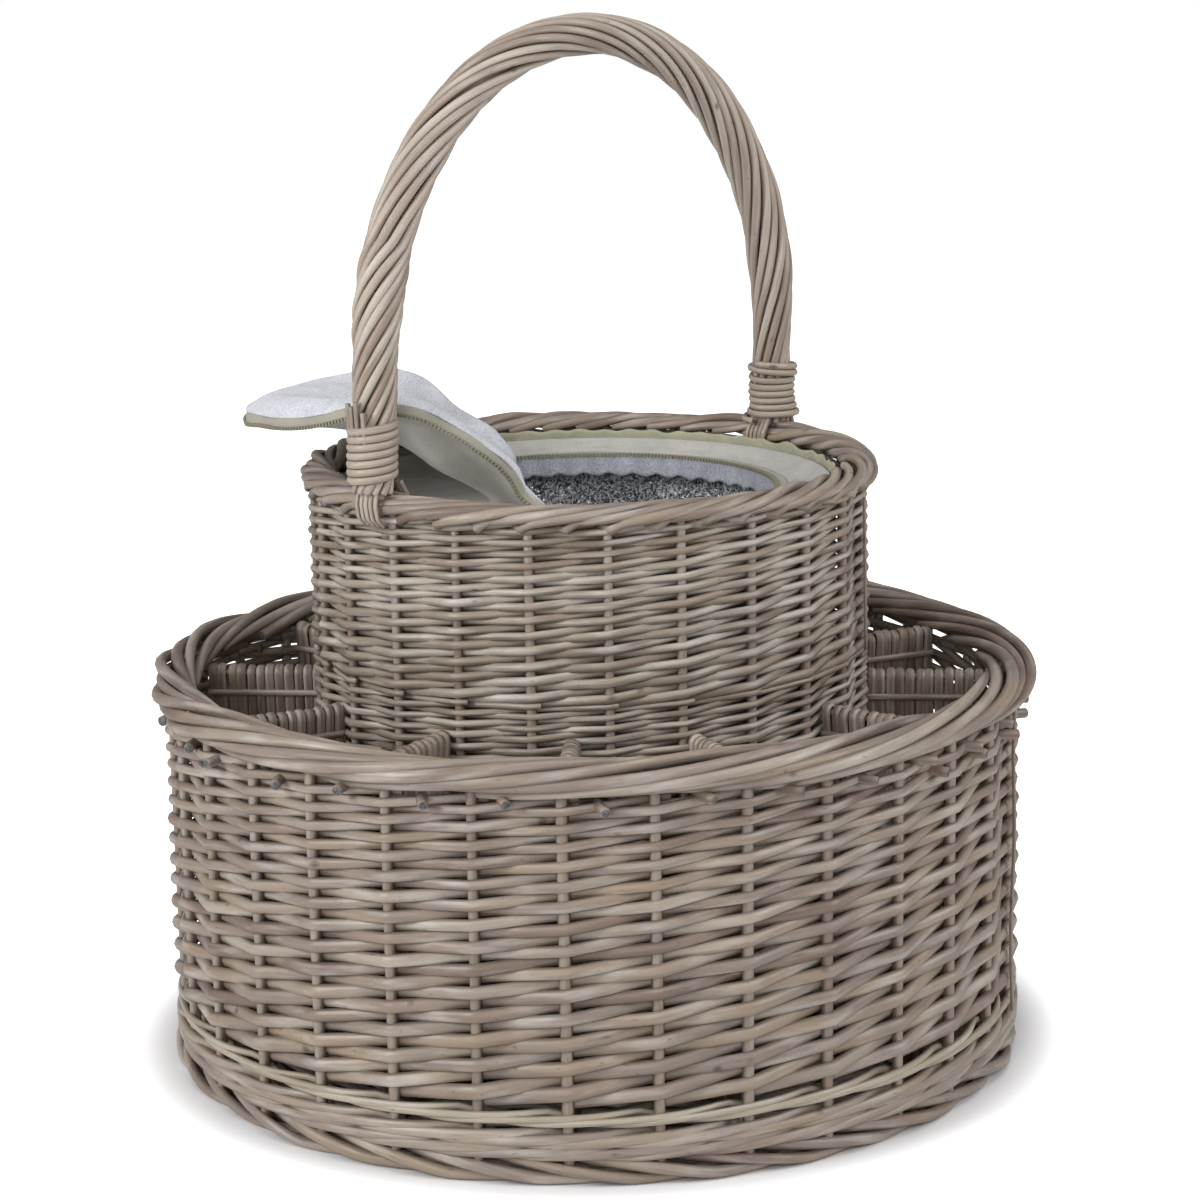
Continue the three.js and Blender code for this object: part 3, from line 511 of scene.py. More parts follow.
def randing(count, first, radius, sway, bottom, rows, butt, tip, seed, taper=1.0, plump=1.2,
            places=(0, 0.06, 0.16, 0.5, 0.84, 0.94)):
    """Weavers of a wall, so thick at their butts and tips, with points at these places of each gap between
    two uprights."""
    draw = random.Random(seed)
    pitch = TURN / count
    share = (np.arange(-1, rows)[:, None] + np.array(places)).ravel()
    share = share[(share > -0.01) & (share < rows - 0.6)]
    straight = np.cos(pitch / 2) / np.cos((share % 1 - 0.5) * pitch)
    narrowing = (tip - butt) * np.maximum(share, 0) ** (taper + 1) / ((taper + 1) * rows ** taper)
    stack = butt * share + narrowing
    thick = butt + (tip - butt) * (np.clip(share, 0, rows) / rows) ** taper
    rods = []
    for k in range(count):
        loose = 0.0005 * np.sin(share * draw.uniform(0.5, 1.4) + draw.uniform(0, TURN))
        lift = 0.00035 * np.sin(share * draw.uniform(0.6, 2.4) + draw.uniform(0, TURN))
        turn = first + (k + share) * pitch
        distance = (radius + sway * zigzag(share)) * straight + loose
        points = around(turn, distance, bottom + stack + butt / 2 + lift)
        own = thick * plump * draw.uniform(0.94, 1.05)
        own = own * (1 + 0.04 * np.sin(share * 1.9 + draw.uniform(0, TURN)))
        rods.append(cut_rod(points, outwards(turn), own * 0.8, own, draw.random(), cut=False))
    return rods


def uprights(count, first, radius, bottom, top, rod, seed):
    draw = random.Random(seed)
    height = np.linspace(bottom, top, 12)
    rods = []
    for k in range(count):
        turn = first + k * TURN / count + draw.uniform(-0.004, 0.004)
        lean = draw.uniform(-0.004, 0.004)
        points = around(turn + lean * (height - bottom) / (top - bottom), radius, height)
        wide = rod * draw.uniform(0.92, 1.1)
        rods.append(cut_rod(points, outwards(turn), rod, wide, draw.random(), cut=False))
    return rods


rods = randing(STAKES, FIRST_STAKE, stake_radius, WALL_SWAY, WALL_BOTTOM, WALL_ROWS, WALL_BUTT, WALL_TIP,
               seed=21)
lay_rods("lower_wall_weavers", rods, tan_willow, "willow", "lower_wall")
stake_willow = willow("upright_willow", [
    (136, 119, 105), (154, 137, 122), (158, 145, 133), (147, 130, 115),
], wash_and_sheen=0.25)
low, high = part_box("lower_border")
rods = uprights(STAKES, FIRST_STAKE, stake_radius + 0.0008, STAKE_BOTTOM, low.z + 0.004, WALL_STAKE,
                seed=22)
height = np.linspace(0.03, low.z + 0.002, 14)
stray = around(STRAY_TURN, wall_radius + 0.0004 + 0.0006 * np.sin(height * 60), height)
rods.append(cut_rod(stray, outwards(STRAY_TURN), deep=0.0022, wide=0.0024, tone=0.9))
lay_rods("lower_uprights", rods, stake_willow, "willow", "lower_wall")


# Lower border: each upright is bent down at the rim and rolled on to the right, over the outside, across
# the top and down inside, beside the ones before it. The cut ends come out under the border.
BORDER_ROD = 0.0074
BORDER_WIDTH = 0.028
CUT_ENDS = STAKES + 5
CUT_END_WIDE = 0.0058
SECOND_ROW = 0.007
rods = rolled_border(
    STAKES, FIRST_STAKE, (high.x, BORDER_WIDTH, low.z, high.z - low.z), BORDER_ROD,
    start=math.radians(-100), end=math.radians(200), per_turn=3.9, seed=31, slack=0.0018, wander=0.11,
)
lay_rods("lower_border_rods", rods, tan_willow, "willow", "lower_border")

draw = random.Random(32)
share = np.array([0, 0.4, 0.75, 1])
rods = []
for k in range(CUT_ENDS):
    turn = FIRST_STAKE + (k + draw.uniform(0.2, 0.7)) * STAKE_PITCH
    reach = np.array([-0.01, -0.004, 0.0002, draw.uniform(0.0016, 0.0036)])
    height = low.z - draw.uniform(-0.001, 0.004) - (SECOND_ROW if k >= STAKES else 0) - 0.001 * share
    aside = turn + draw.uniform(0.005, 0.045) * share
    points = around(aside, wall_radius + reach, height)
    rods.append(cut_rod(points, UP, draw.uniform(0.0052, 0.006), CUT_END_WIDE, draw.random()))
lay_rods("lower_border_cut_ends", rods, stake_willow, "willow", "lower_border", sides=10)


# Upper wall: the cooler's own basket, woven in three bands of finer rods on twenty-four uprights. Each band
# starts with thick ends and closes with thin tips, which show as a fine grey-green stripe.
UPPER_STAKES = 24
UPPER_FIRST = math.radians(4.1)
UPPER_STAKE = 0.0053
UPPER_SWAY = 0.0031
UPPER_STAKE_BOTTOM = 0.018
UPPER_STRAY_TURN = math.radians(26.6)
BANDS = [
    (0.0172, 25, 0.0045, 0.0034, 41), (0.1165, 30, 0.0047, 0.0026, 42), (0.2268, 27, 0.0044, 0.0027, 43),
]
low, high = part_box("upper_wall")
upper_radius = high.x + 0.003
upper_stake_radius = upper_radius - UPPER_SWAY - 0.0019
grey_willow = willow("grey_willow", [
    (126, 112, 97), (152, 139, 122), (142, 129, 115), (168, 159, 144), (149, 132, 116), (178, 169, 154),
], wash_and_sheen=0.8)
rods = []
for bottom, rows, butt, tip, seed in BANDS:
    rods += randing(UPPER_STAKES, UPPER_FIRST + seed * TURN / UPPER_STAKES, upper_stake_radius, UPPER_SWAY,
                    bottom, rows, butt, tip, seed, taper=1.2, plump=1.28, places=(0, 0.12, 0.5, 0.88))
lay_rods("upper_wall_weavers", rods, grey_willow, "grey_willow", "upper_wall", "upper_wale", sides=6)

low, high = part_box("upper_border")
rods = uprights(UPPER_STAKES, UPPER_FIRST, upper_stake_radius + 0.0006, UPPER_STAKE_BOTTOM, low.z + 0.003,
                UPPER_STAKE, seed=44)
height = np.linspace(0.232, low.z - 0.004, 10)
stray = around(UPPER_STRAY_TURN - height * 0.3 + 0.09, upper_radius + 0.0014, height)
rods.append(cut_rod(stray, outwards(UPPER_STRAY_TURN), deep=0.002, wide=0.0022, tone=0.9))
lay_rods("upper_uprights", rods, stake_willow, "grey_willow", "upper_wall")


# Upper border: a rolled border of forty-two rods, flatter and closer than the lower one. The rods come up
# from inside the wall, roll over the outside and go down inside.
UPPER_BORDER_ROD = 0.0058
UPPER_BORDER_RODS = 42
UPPER_BORDER_WIDTH = 0.0225
rods = rolled_border(
    UPPER_BORDER_RODS, UPPER_FIRST, (high.x + 0.002, UPPER_BORDER_WIDTH, low.z, high.z - low.z),
    UPPER_BORDER_ROD, start=math.radians(-40), end=math.radians(200), per_turn=6.0, seed=51, slack=0.0012,
)
lead_in(rods, UPPER_FIRST, back=[0.052, 0.034, 0.018], radius=[0.149, 0.153, 0.157], height=low.z + 0.0012)
lay_rods("upper_border_rods", rods, tan_willow, "willow", "upper_border")


# Handle: a thick bow whose tips are pushed down into the upper wall, and twelve rods twisted round it as a
# rope, which is thinner at its feet and at the top of the arch than between them.
ROPE_RODS = 12
LEG_RADIUS = 0.152
LEG_HEIGHT = 0.07
HANDLE_RISE = 0.161
ROPE_THICK = 0.026
ROPE_FOOT_THICK = 0.0216
ROPE_SWELL = 0.112
ROPE_TOP_LOSS = 0.14
ROPE_TOP_SPREAD = 0.15
LEFT_PITCH = 0.13
RIGHT_PITCH = 0.25
LEFT_LEAN = 0.006
LEAN_HEIGHT = 0.09
BOW_THICK = 0.012
BOW_TIP_THICK = 0.005
BOW_TIP_RADIUS = 0.1456
BOW_TIP_SLOPE = 0.03
FRONT = np.array([0, -1.0, 0])
rope_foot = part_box("rope_rod_1")[0].z + 0.0006


def smooth(share):
    """Rises from 0 to 1 with a soft start and a soft end."""
    share = np.clip(share, 0, 1)
    return share * share * (3 - 2 * share)


def at_distances(distance, run, line):
    return np.stack([np.interp(distance, run, line[:, i]) for i in range(3)], -1)


def handle_line(count):
    """Points of the handle's centre line from the left foot to the right one, the way out of the arch at
    each, and the distance from the left foot."""
    straight = np.linspace(0, LEG_HEIGHT, 20)[:-1]
    angle = np.linspace(0, math.pi, 400)
    left = np.stack([0 * straight - LEG_RADIUS, 0 * straight, rope_foot + straight], -1)
    arch_height = rope_foot + LEG_HEIGHT + HANDLE_RISE * np.sin(angle)
    arch = np.stack([-LEG_RADIUS * np.cos(angle), 0 * angle, arch_height], -1)
    line = np.vstack([left, arch, left[::-1] * np.array([-1, 1, 1])])
    low_down = np.clip(1 - (line[:, 2] - rope_foot) / LEAN_HEIGHT, 0, 1)
    line[:, 0] -= np.where(line[:, 0] < 0, LEFT_LEAN, 0) * low_down ** 1.5
    run = run_along(line)
    distance = np.linspace(0, run[-1], count)
    points = at_distances(distance, run, line)
    return points, np.cross(FRONT, unit(np.gradient(points, axis=0))), distance


rope_willow = willow("rope_willow", [
    (158, 140, 126), (184, 168, 154), (172, 156, 143), (196, 184, 170), (180, 162, 148), (204, 192, 179),
], crevice_shade=0.5)
line, out, distance = handle_line(260)
length = distance[-1]
swell = smooth(np.minimum(distance, length - distance) / ROPE_SWELL)
rope = ROPE_FOOT_THICK + (ROPE_THICK - ROPE_FOOT_THICK) * swell
rope *= 1 - ROPE_TOP_LOSS * np.exp(-((distance / length - 0.5) / ROPE_TOP_SPREAD) ** 2)
twist = np.minimum(distance, LEFT_PITCH) / LEFT_PITCH + np.maximum(distance - LEFT_PITCH, 0) / RIGHT_PITCH
draw = random.Random(61)
for k in range(ROPE_RODS):
    thick = rope * 0.186 * draw.uniform(0.9, 1.1)
    sink = 0.0006 * np.sin(distance * draw.uniform(10, 26) + draw.uniform(0, TURN))
    turn = twist * TURN + k / ROPE_RODS * TURN + 0.05 * np.sin(distance * 14 + draw.uniform(0, TURN))
    reach = (rope - thick) / 2 + sink
    away = out * np.cos(turn)[:, None] + FRONT * np.sin(turn)[:, None]
    rod = cut_rod(line + away * reach[:, None], away, thick, thick * 1.1, draw.random(), cut=False)
    lay_rods(f"rope_rod_twist_{k + 1:02d}", [rod], rope_willow, "willow", f"rope_rod_{k + 1}")

low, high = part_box("handle_bow")
line, out, distance = handle_line(120)
down = np.linspace(0, rope_foot - low.z, 14)[1:]
tip_radius = np.interp(down, [0, BOW_TIP_SLOPE, 1], [LEG_RADIUS, BOW_TIP_RADIUS, BOW_TIP_RADIUS])
tip = np.stack([-tip_radius, 0 * down, rope_foot - down], -1)
path = np.vstack([tip[::-1], line, tip * np.array([-1, 1, 1])])
last = len(path) - 1
bow_thick = np.interp(np.arange(len(path)), [0, 12, last - 12, last],
                      [BOW_TIP_THICK, BOW_THICK, BOW_THICK, BOW_TIP_THICK])
bow = cut_rod(path, FRONT, bow_thick, bow_thick, tone=0.4)
lay_rods("handle_core", [bow], rope_willow, "pale_willow", "handle_bow", sides=12)


# Lashings: a flat cane wound tightly round each foot of the rope, and cut rod ends that stand up over the
# left one. The right one is of thinner cane, wound the other way, and its two top turns have slipped.
CANE_DEEP = 0.0034
LEFT_CANE = 0.0045
RIGHT_CANE = 0.004
ROPE_ENDS = 4
ROPE_END_PITCH = 0.0037
ROPE_END_BOTTOM = 0.026
ROPE_END_TOP = 0.046
lashing_willow = willow("lashing_cane", [
    (160, 142, 126), (178, 162, 147), (170, 156, 142), (187, 174, 160),
], wash_and_sheen=0.3)
for name, side, turns, cane, flare, lift, loose in (
    ("left", -1, 7, LEFT_CANE, 0.0, 0.0035, 0.0), ("right", 1, 8, RIGHT_CANE, 0.0045, 0.0, 0.0014),
):
    share = np.linspace(0, 1, turns * 20)
    turn = side * math.pi / 2 + math.pi - side * share * turns * TURN
    height = rope_foot + lift + cane / 2 + share * (turns - 0.4) * (cane + 0.0001)
    slipped = loose * np.clip(share * turns - (turns - 2.2), 0, 1)
    spread = ROPE_FOOT_THICK / 2 + CANE_DEEP * 0.4 + flare * np.clip(1 - share * 3, 0, 1) ** 2
    spread = spread + 0.0004 * np.sin(share * 40) + slipped * 0.8
    centre = np.array([side * LEG_RADIUS - (LEFT_LEAN * 0.8 if side < 0 else 0), 0, 0])
    points = centre + around(turn, spread, height + (0.0008 - slipped) * np.sin(turn + 0.6) + slipped)
    rod = cut_rod(points, outwards(turn), CANE_DEEP, cane, tone=0.45)
    lay_rods(f"lashing_{name}_cane", [rod], lashing_willow, "pale_willow", f"lashing_{name}")

rods = []
draw = random.Random(72)
for k in range(ROPE_ENDS):
    rise = np.linspace(ROPE_END_BOTTOM, ROPE_END_TOP + 0.003 * draw.uniform(-1, 1), 8)
    aside = (k - 1.6) * ROPE_END_PITCH
    away = 0.0112 - (aside / 0.0115) ** 2 * 0.005 + 0.0012 * (rise - ROPE_END_BOTTOM) / 0.02
    points = np.stack([-LEG_RADIUS - LEFT_LEAN * 0.8 - away, aside + 0 * rise, rope_foot + rise], -1)
    rods.append(cut_rod(points, np.array([-1.0, 0, 0]), deep=0.003, wide=0.0031, tone=draw.random()))
lay_rods("rope_cut_ends", rods, stake_willow, "pale_willow", "lashing_left", sides=6)


# Tails: the thin ends of the rope's rods. They leave the lashings at the bottom in flat bunches and are
# tucked over the border, outside and inside.
TAILS = 5
TAIL_ROD = 0.0033
TAIL_PITCH = 0.0031
TAIL_SHARES = [0, 0.2, 0.45, 0.75, 1]
TAIL_OUT = {
    "outer": [0.0082, 0.0102, 0.0118, 0.0114, 0.008], "inner": [0.0082, 0.0112, 0.0134, 0.0128, 0.0095],
}
low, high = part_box("upper_border")
border_middle = (high.z + low.z) / 2
tail_heights = [
    rope_foot + 0.005, rope_foot - 0.001, border_middle + 0.001, border_middle - 0.006, low.z - 0.003,
]
draw = random.Random(71)
share = np.linspace(0, 1, 18)
height = np.interp(share, TAIL_SHARES, tail_heights)
section = math.radians(80) - share * math.radians(120)
for name, side in (("left", -1), ("right", 1)):
    for way, reach in (("outer", 1), ("inner", -1)):
        bunch = f"tails_{name}_{way}"
        radius = LEG_RADIUS + reach * np.interp(share, TAIL_SHARES, TAIL_OUT[way])
        rods = []
        for k in range(TAILS):
            offset = (k - (TAILS - 1) / 2) * TAIL_PITCH
            turn = side * math.pi / 2 + (offset * (1.05 + 0.1 * share) + 0.003 * share) / LEG_RADIUS
            thick = TAIL_ROD * np.interp(share, [0, 1], [1.05, 0.85]) * draw.uniform(0.9, 1.1)
            away = around(turn, reach * np.cos(section), np.sin(section))
            rods.append(cut_rod(around(turn, radius, height), away, thick * 0.8, thick, draw.random()))
        lay_rods(f"{bunch}_rods", rods, lashing_willow, "willow", bunch, sides=6)


# Dividers: thin rods bent over a top rail, side by side, with weft rods woven through them. They split the
# space between the two baskets into twelve compartments.
DIVIDERS = 12
DIVIDER_INSIDE = 0.1553
DIVIDER_OUTSIDE = 0.2216
LOOP_PITCH = 0.0055
LOOP_ROD = 0.0048
LOOP_ROD_WIDE = 0.0031
LOOP_RADIUS = 0.0034
LOOP_BEND = np.linspace(math.pi, 0, 9)[1:-1]
LOOPS = int((DIVIDER_OUTSIDE - DIVIDER_INSIDE) / LOOP_PITCH)
LOOP_HALF = np.array([0.0016, 0.0018, 0.0016, 0.0018, 0.0019, 0.0021, 0.0029, 0.0034])
WEFT_DEEP = 0.0028
WEFT_WIDE = 0.0042
draw = random.Random(81)
for number in range(1, DIVIDERS + 1):
    node = f"divider_{number:02d}"
    low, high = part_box(node)
    middle = (low + high) / 2
    turn = math.atan2(middle.x, -middle.y)
    away = outwards(turn)
    aside = outwards(turn + math.pi / 2)
    rods = []
    for k in range(LOOPS):
        radius = DIVIDER_INSIDE + LOOP_PITCH * (k + 0.5) + draw.uniform(-0.0004, 0.0004)
        top = high.z - draw.uniform(0, 0.0012)
        rise = np.array([low.z, 0.06, 0.11, 0.16, top - 0.03, top - 0.018, top - 0.011, top - 0.006])
        over = np.stack([LOOP_RADIUS * np.cos(LOOP_BEND), top - 0.0048 + 0.0035 * np.sin(LOOP_BEND)], -1)
        section = np.vstack([np.stack([-LOOP_HALF, rise], -1), over, np.stack([LOOP_HALF, rise], -1)[::-1]])
        lean = draw.uniform(-0.0005, 0.0005)
        along = radius + lean * np.cos(section[:, 1] * 60)
        points = along[:, None] * away + section[:, :1] * aside + section[:, 1:] * UP
        thick = LOOP_ROD * draw.uniform(0.94, 1.1)
        rods.append(cut_rod(points, away, thick, LOOP_ROD_WIDE, draw.random(), cut=False))
    rail = [(high.z - 0.0055, 0.0)]
    wefts = [(z, side * LOOP_RADIUS) for z in (high.z - 0.0165, 0.15, 0.08) for side in (1, -1)]
    for height, half in rail + wefts:
        along = np.linspace(DIVIDER_INSIDE, DIVIDER_OUTSIDE, 24)
        points = along[:, None] * away + half * aside + height * UP
        rods.append(cut_rod(points, aside, WEFT_DEEP, WEFT_WIDE, draw.random(), cut=False))
    lay_rods(f"divider_rods_{number:02d}", rods, tan_willow, "willow", node, sides=6)


# Cooler: a padded cloth bag that fills the upper basket, and its lining of crinkled foil, with light glinting
# painted into its colour as small pale flakes.
BAG_CORNER = [0, 0.002, 0.006, 0.014]
FOIL_CORNER = [0, 0.001, 0.006, 0.014]
CUP_WALL_START = 0.02


def weave_cloth(name, shade, roughness, thread, relief, mottle=0.12):
    """Woven or brushed cloth: a fine thread pattern, faint mottling, and soft sheen."""
    cloth, tree, surface = new_finish(name)
    place = add_node(tree, "ShaderNodeTexCoord")["Object"]
    clouds = work_out(tree, "MULTIPLY", noise(tree, place, scale=60, detail=6), 0.4)
    both = work_out(tree, "MULTIPLY_ADD", noise(tree, place, scale=thread, detail=2), 0.6, clouds)
    dark = [c * (1 - mottle) for c in shade]
    pale = [min(255, c * (1 + mottle * 0.6)) for c in shade]
    feed(tree, surface, {
        "Base Color": colour_ramp(tree, both, [(0.3, dark), (0.7, pale)]),
        "Roughness": roughness,
        "Specular IOR Level": 0.2,
        "Sheen Weight": 0.15,
        "Normal": bumps(tree, both, strength=0.5, distance=relief),
    })
    return cloth


def select(piece, *others):
    """Selects these objects and no more, with the first one active."""
    bpy.ops.object.select_all(action="DESELECT")
    for thing in (piece, *others):
        thing.select_set(True)
    bpy.context.view_layer.objects.active = piece


def skin(name, grid, cloth, thickness, closed=False, inward=False):
    """A sheet through a grid of points, given its thickness on the side away from its faces."""
    rows, columns = grid.shape[:2]
    faces = []
    for i in range(rows - 1):
        for j in range(columns if closed else columns - 1):
            near, far = i * columns + j, i * columns + (j + 1) % columns
            corners = [near, far, far + columns, near + columns]
            faces.append(corners[::-1] if inward else corners)
    mesh = bpy.data.meshes.new(name)
    mesh.from_pydata(grid.reshape(-1, 3).tolist(), [], faces)
    mesh.shade_smooth()
    mesh.materials.append(cloth)
    piece = put_in_scene(name, mesh)
    wall = piece.modifiers.new("wall", "SOLIDIFY")
    wall.thickness = thickness
    wall.offset = -1
    select(piece)
    bpy.ops.object.modifier_apply(modifier="wall")
    return piece


def ripples(angle, height, seed, waves=9):
    """Irregular soft ripples round a band, from -1 to 1."""
    draw = random.Random(seed)
    total = 0 * angle * height
    for _ in range(waves):
        count = draw.randint(5, 60)
        total = total + np.sin(angle * count + height * draw.uniform(-300, 300) + draw.uniform(0, TURN))
    return total / math.sqrt(waves) / 1.6


def cup(low, high, corner, shares, rows, inset, relief, seed, waves=9):
    """A grid over a round bag, with rows of its rounded corner at these heights and shares of its radius."""
    angle = np.linspace(0, TURN, 241)[:-1][None, :]
    height = np.concatenate([corner, np.linspace(CUP_WALL_START, high.z - low.z, rows)])[:, None]
    bulge = np.interp(height, corner + [1], shares + [1])
    radius = (high.x - inset) * bulge + relief * ripples(angle, height, seed, waves)
    return around(angle, radius, low.z + height)


bag_cloth = weave_cloth("cooler_cloth", (128, 128, 128), roughness=0.95, thread=1400, relief=0.0004)
low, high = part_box("cooler_bag")
grid = cup(low, high, BAG_CORNER, [0.5, 0.93, 0.98, 1], rows=50, inset=0.0016, relief=0.0012, seed=91)
bag = skin("cooler_bag_cloth", grid, bag_cloth, 0.002, closed=True)
take_place(bag, "cooler_cloth", "cooler_bag")

foil, tree, surface = new_finish("crinkled_foil")
place = add_node(tree, "ShaderNodeTexCoord")["Object"]
cells = {"Vector": place, "Scale": 400}
creases = add_node(tree, "ShaderNodeTexVoronoi", cells, feature="F2")["Distance"]
crush = work_out(tree, "ADD", creases, noise(tree, place, scale=150, detail=8))
# Painted glinting: pale and white flakes in the foil's colour stand in for light glancing off it.
flakes = add_node(tree, "ShaderNodeTexVoronoi", {"Vector": place, "Scale": 1000})["Color"]
painted_glints = colour_ramp(tree, flakes, [
    (0.36, (104, 113, 124)), (0.46, (205, 212, 221)), (0.56, (255, 255, 255)),
])
feed(tree, surface, {
    "Base Color": painted_glints,
    "Metallic": 0.35,
    "Roughness": 0.14,
    "Coat Weight": 1,
    "Coat Roughness": 0.06,
    "Normal": bumps(tree, crush, strength=1, distance=0.0026),
})
low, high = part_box("foil_lining")
grid = cup(low, high, FOIL_CORNER, [0.02, 0.95, 0.98, 1], rows=60, inset=0.003, relief=0.0022, seed=92,
           waves=14)
lining = skin("foil_lining_sheet", grid, foil, 0.0008, closed=True, inward=True)
take_place(lining, "foil", "foil_lining")


# Top of the cooler: a collar of woven tape under the border, and a cloth panel with a round mouth. Zip tape
# runs round the mouth, with a gathered white binding below it.
MOUTH_TURN = math.radians(-42)
MOUTH_RADIUS = 0.1114
SEAM = 0.046
PANEL_HEIGHT = 0.314
PANEL_RIM = 0.016
PANEL_RIM_RISE = 0.0075
CORNER_X, CORNER_Y = 0.75, 0.66
TAPE_RADIUS = 0.1064
TAPE_WIDTH = 0.0062
TEETH_RADIUS = 0.1062
TOOTH_PITCH = 0.0022
TOOTH = (0.0012, 0.003, 0.0019)
BINDING_RADIUS = 0.1058
SCALLOPS = 44
collar_cloth = weave_cloth("collar_tape", (176, 174, 150), roughness=0.9, thread=1800, relief=0.0005)
low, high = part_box("collar")
angle = np.linspace(0, TURN, 361)[:-1][None, :]
height = np.linspace(0, 1, 10)[:, None]
gather = ripples(angle, 0.0, 93, waves=16)
radius = high.x - 0.0022 + (0.0009 + 0.0008 * height) * gather
lift = 0.0012 * ripples(angle, 0.0, 94, waves=12)
grid = around(angle, radius, low.z + (high.z - low.z) * height + lift)
collar = skin("collar_band", grid, collar_cloth, 0.0012, closed=True, inward=True)
take_place(collar, "collar_cloth", "collar")

mouth_across = np.array([math.cos(MOUTH_TURN), math.sin(MOUTH_TURN), 0])
mouth_along = np.array([-math.sin(MOUTH_TURN), math.cos(MOUTH_TURN), 0])
mouth_centre = np.array([0.00834, 0.00863, PANEL_HEIGHT])


def mouth_spokes(angle):
    """Directions from the mouth's centre, at angles from the side that is away from the lid's seam."""
    return np.cos(angle)[:, None] * mouth_across + np.sin(angle)[:, None] * mouth_along


panel_cloth = weave_cloth("panel_cloth", (186, 184, 178), roughness=0.95, thread=1500, relief=0.0004)
angle = np.linspace(-math.pi, math.pi, 241)[:-1]
spoke = mouth_spokes(angle)
to_seam = -SEAM / np.minimum(np.cos(angle), -1e-6)
reach = np.where(np.cos(angle) < -SEAM / MOUTH_RADIUS, to_seam, MOUTH_RADIUS)
corner_side = -CORNER_X * np.cos(angle) - CORNER_Y * np.sin(angle)
corner_cut = CORNER_X * 0.024 + CORNER_Y * 0.103
reach = np.where(corner_side > 0.3, np.minimum(reach, corner_cut / np.maximum(corner_side, 0.3)), reach)
low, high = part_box("top_panel")
panel_radius = high.x - 0.0006
across = spoke @ mouth_centre
limit = -across + np.sqrt(across ** 2 - mouth_centre[:2] @ mouth_centre[:2] + panel_radius ** 2)
share = np.linspace(0, 1, 16)[:, None]
away = reach + (limit - reach) * share
grid = mouth_centre + away[..., None] * spoke
distance = np.linalg.norm(grid[..., :2], axis=-1)
rise = np.clip((distance - (panel_radius - PANEL_RIM)) / PANEL_RIM, 0, 1)
soft = 0.0011 * ripples(angle[None, :], share * 0.02, 95) * np.sin(share * math.pi)
grid[..., 2] += PANEL_RIM_RISE * rise ** 1.5 + (soft + 0.0006 * np.sin(share * 9))
top_panel = skin("top_panel_cloth", grid, panel_cloth, 0.0016, closed=True, inward=True)
take_place(top_panel, "cooler_cloth", "top_panel")

tape_cloth = weave_cloth(
    "zip_tape_cloth", (166, 163, 150), roughness=0.85, thread=2600, relief=0.0003, mottle=0.08
)
teeth_metal, tree, surface = new_finish("zip_teeth")
feed(tree, surface, {"Base Color": colour(146, 142, 120), "Roughness": 0.4})


def add_teeth(piece, points, across, up):
    """Zip teeth along a line of points, as small blocks in the piece's second material."""
    run = run_along(points)
    stations = np.arange(TOOTH_PITCH, run[-1] - TOOTH_PITCH / 2, TOOTH_PITCH)
    place, away, rise = (at_distances(stations, run, line) for line in (points, across, up))
    forward = np.cross(away, rise)
    corners = [
        place + forward * TOOTH[0] / 2 * a + away * TOOTH[1] / 2 * b + rise * TOOTH[2] / 2 * c
        for c in (-1, 1) for a, b in ((-1, -1), (1, -1), (1, 1), (-1, 1))
    ]
    vertices = np.stack(corners, 1).reshape(-1, 3)
    block = [(0, 3, 2, 1), (4, 5, 6, 7), (0, 1, 5, 4), (1, 2, 6, 5), (2, 3, 7, 6), (3, 0, 4, 7)]
    faces = [[8 * k + i for i in face] for k in range(len(place)) for face in block]
    mesh = bpy.data.meshes.new("teeth")
    mesh.from_pydata(vertices.tolist(), [], faces)
    mesh.materials.append(teeth_metal)
    select(piece, put_in_scene("teeth", mesh))
    bpy.ops.object.join()


seam_angle = math.acos(-SEAM / MOUTH_RADIUS) - 0.02
angle = np.linspace(-seam_angle, seam_angle, 200)
spoke = mouth_spokes(angle)
share = np.linspace(0, 1, 5)[:, None]
away = TAPE_RADIUS + TAPE_WIDTH * share + 0.0004 * np.sin(angle * 21)[None, :]
grid = mouth_centre + away[..., None] * spoke
grid[..., 2] += 0.0002 + 0.0008 * share
mouth_tape = skin("mouth_zip_tape", grid, tape_cloth, 0.0011, inward=True)
teeth_line = mouth_centre + TEETH_RADIUS * spoke + 0.0004 * UP
add_teeth(mouth_tape, teeth_line, spoke, np.tile(UP, (len(angle), 1)))
take_place(mouth_tape, "zip_tape", "zip_tape")

lace = weave_cloth("thin_white_lace", (178, 182, 190), roughness=0.9, thread=800, relief=0.0016, mottle=0.2)
height = np.linspace(0, 1, 8)[:, None]
scallop = np.abs(np.sin(angle * SCALLOPS / 2))[None, :]
away = BINDING_RADIUS - 0.0016 * height - 0.0012 * np.sin(angle * SCALLOPS)[None, :] * height
grid = mouth_centre + away[..., None] * spoke
grid[..., 2] = PANEL_HEIGHT + 0.0004 - (0.0105 + 0.0022 * scallop) * height
binding = skin("mouth_lace_binding", grid, lace, 0.0007)
take_place(binding, "white_lining", "mouth_binding")


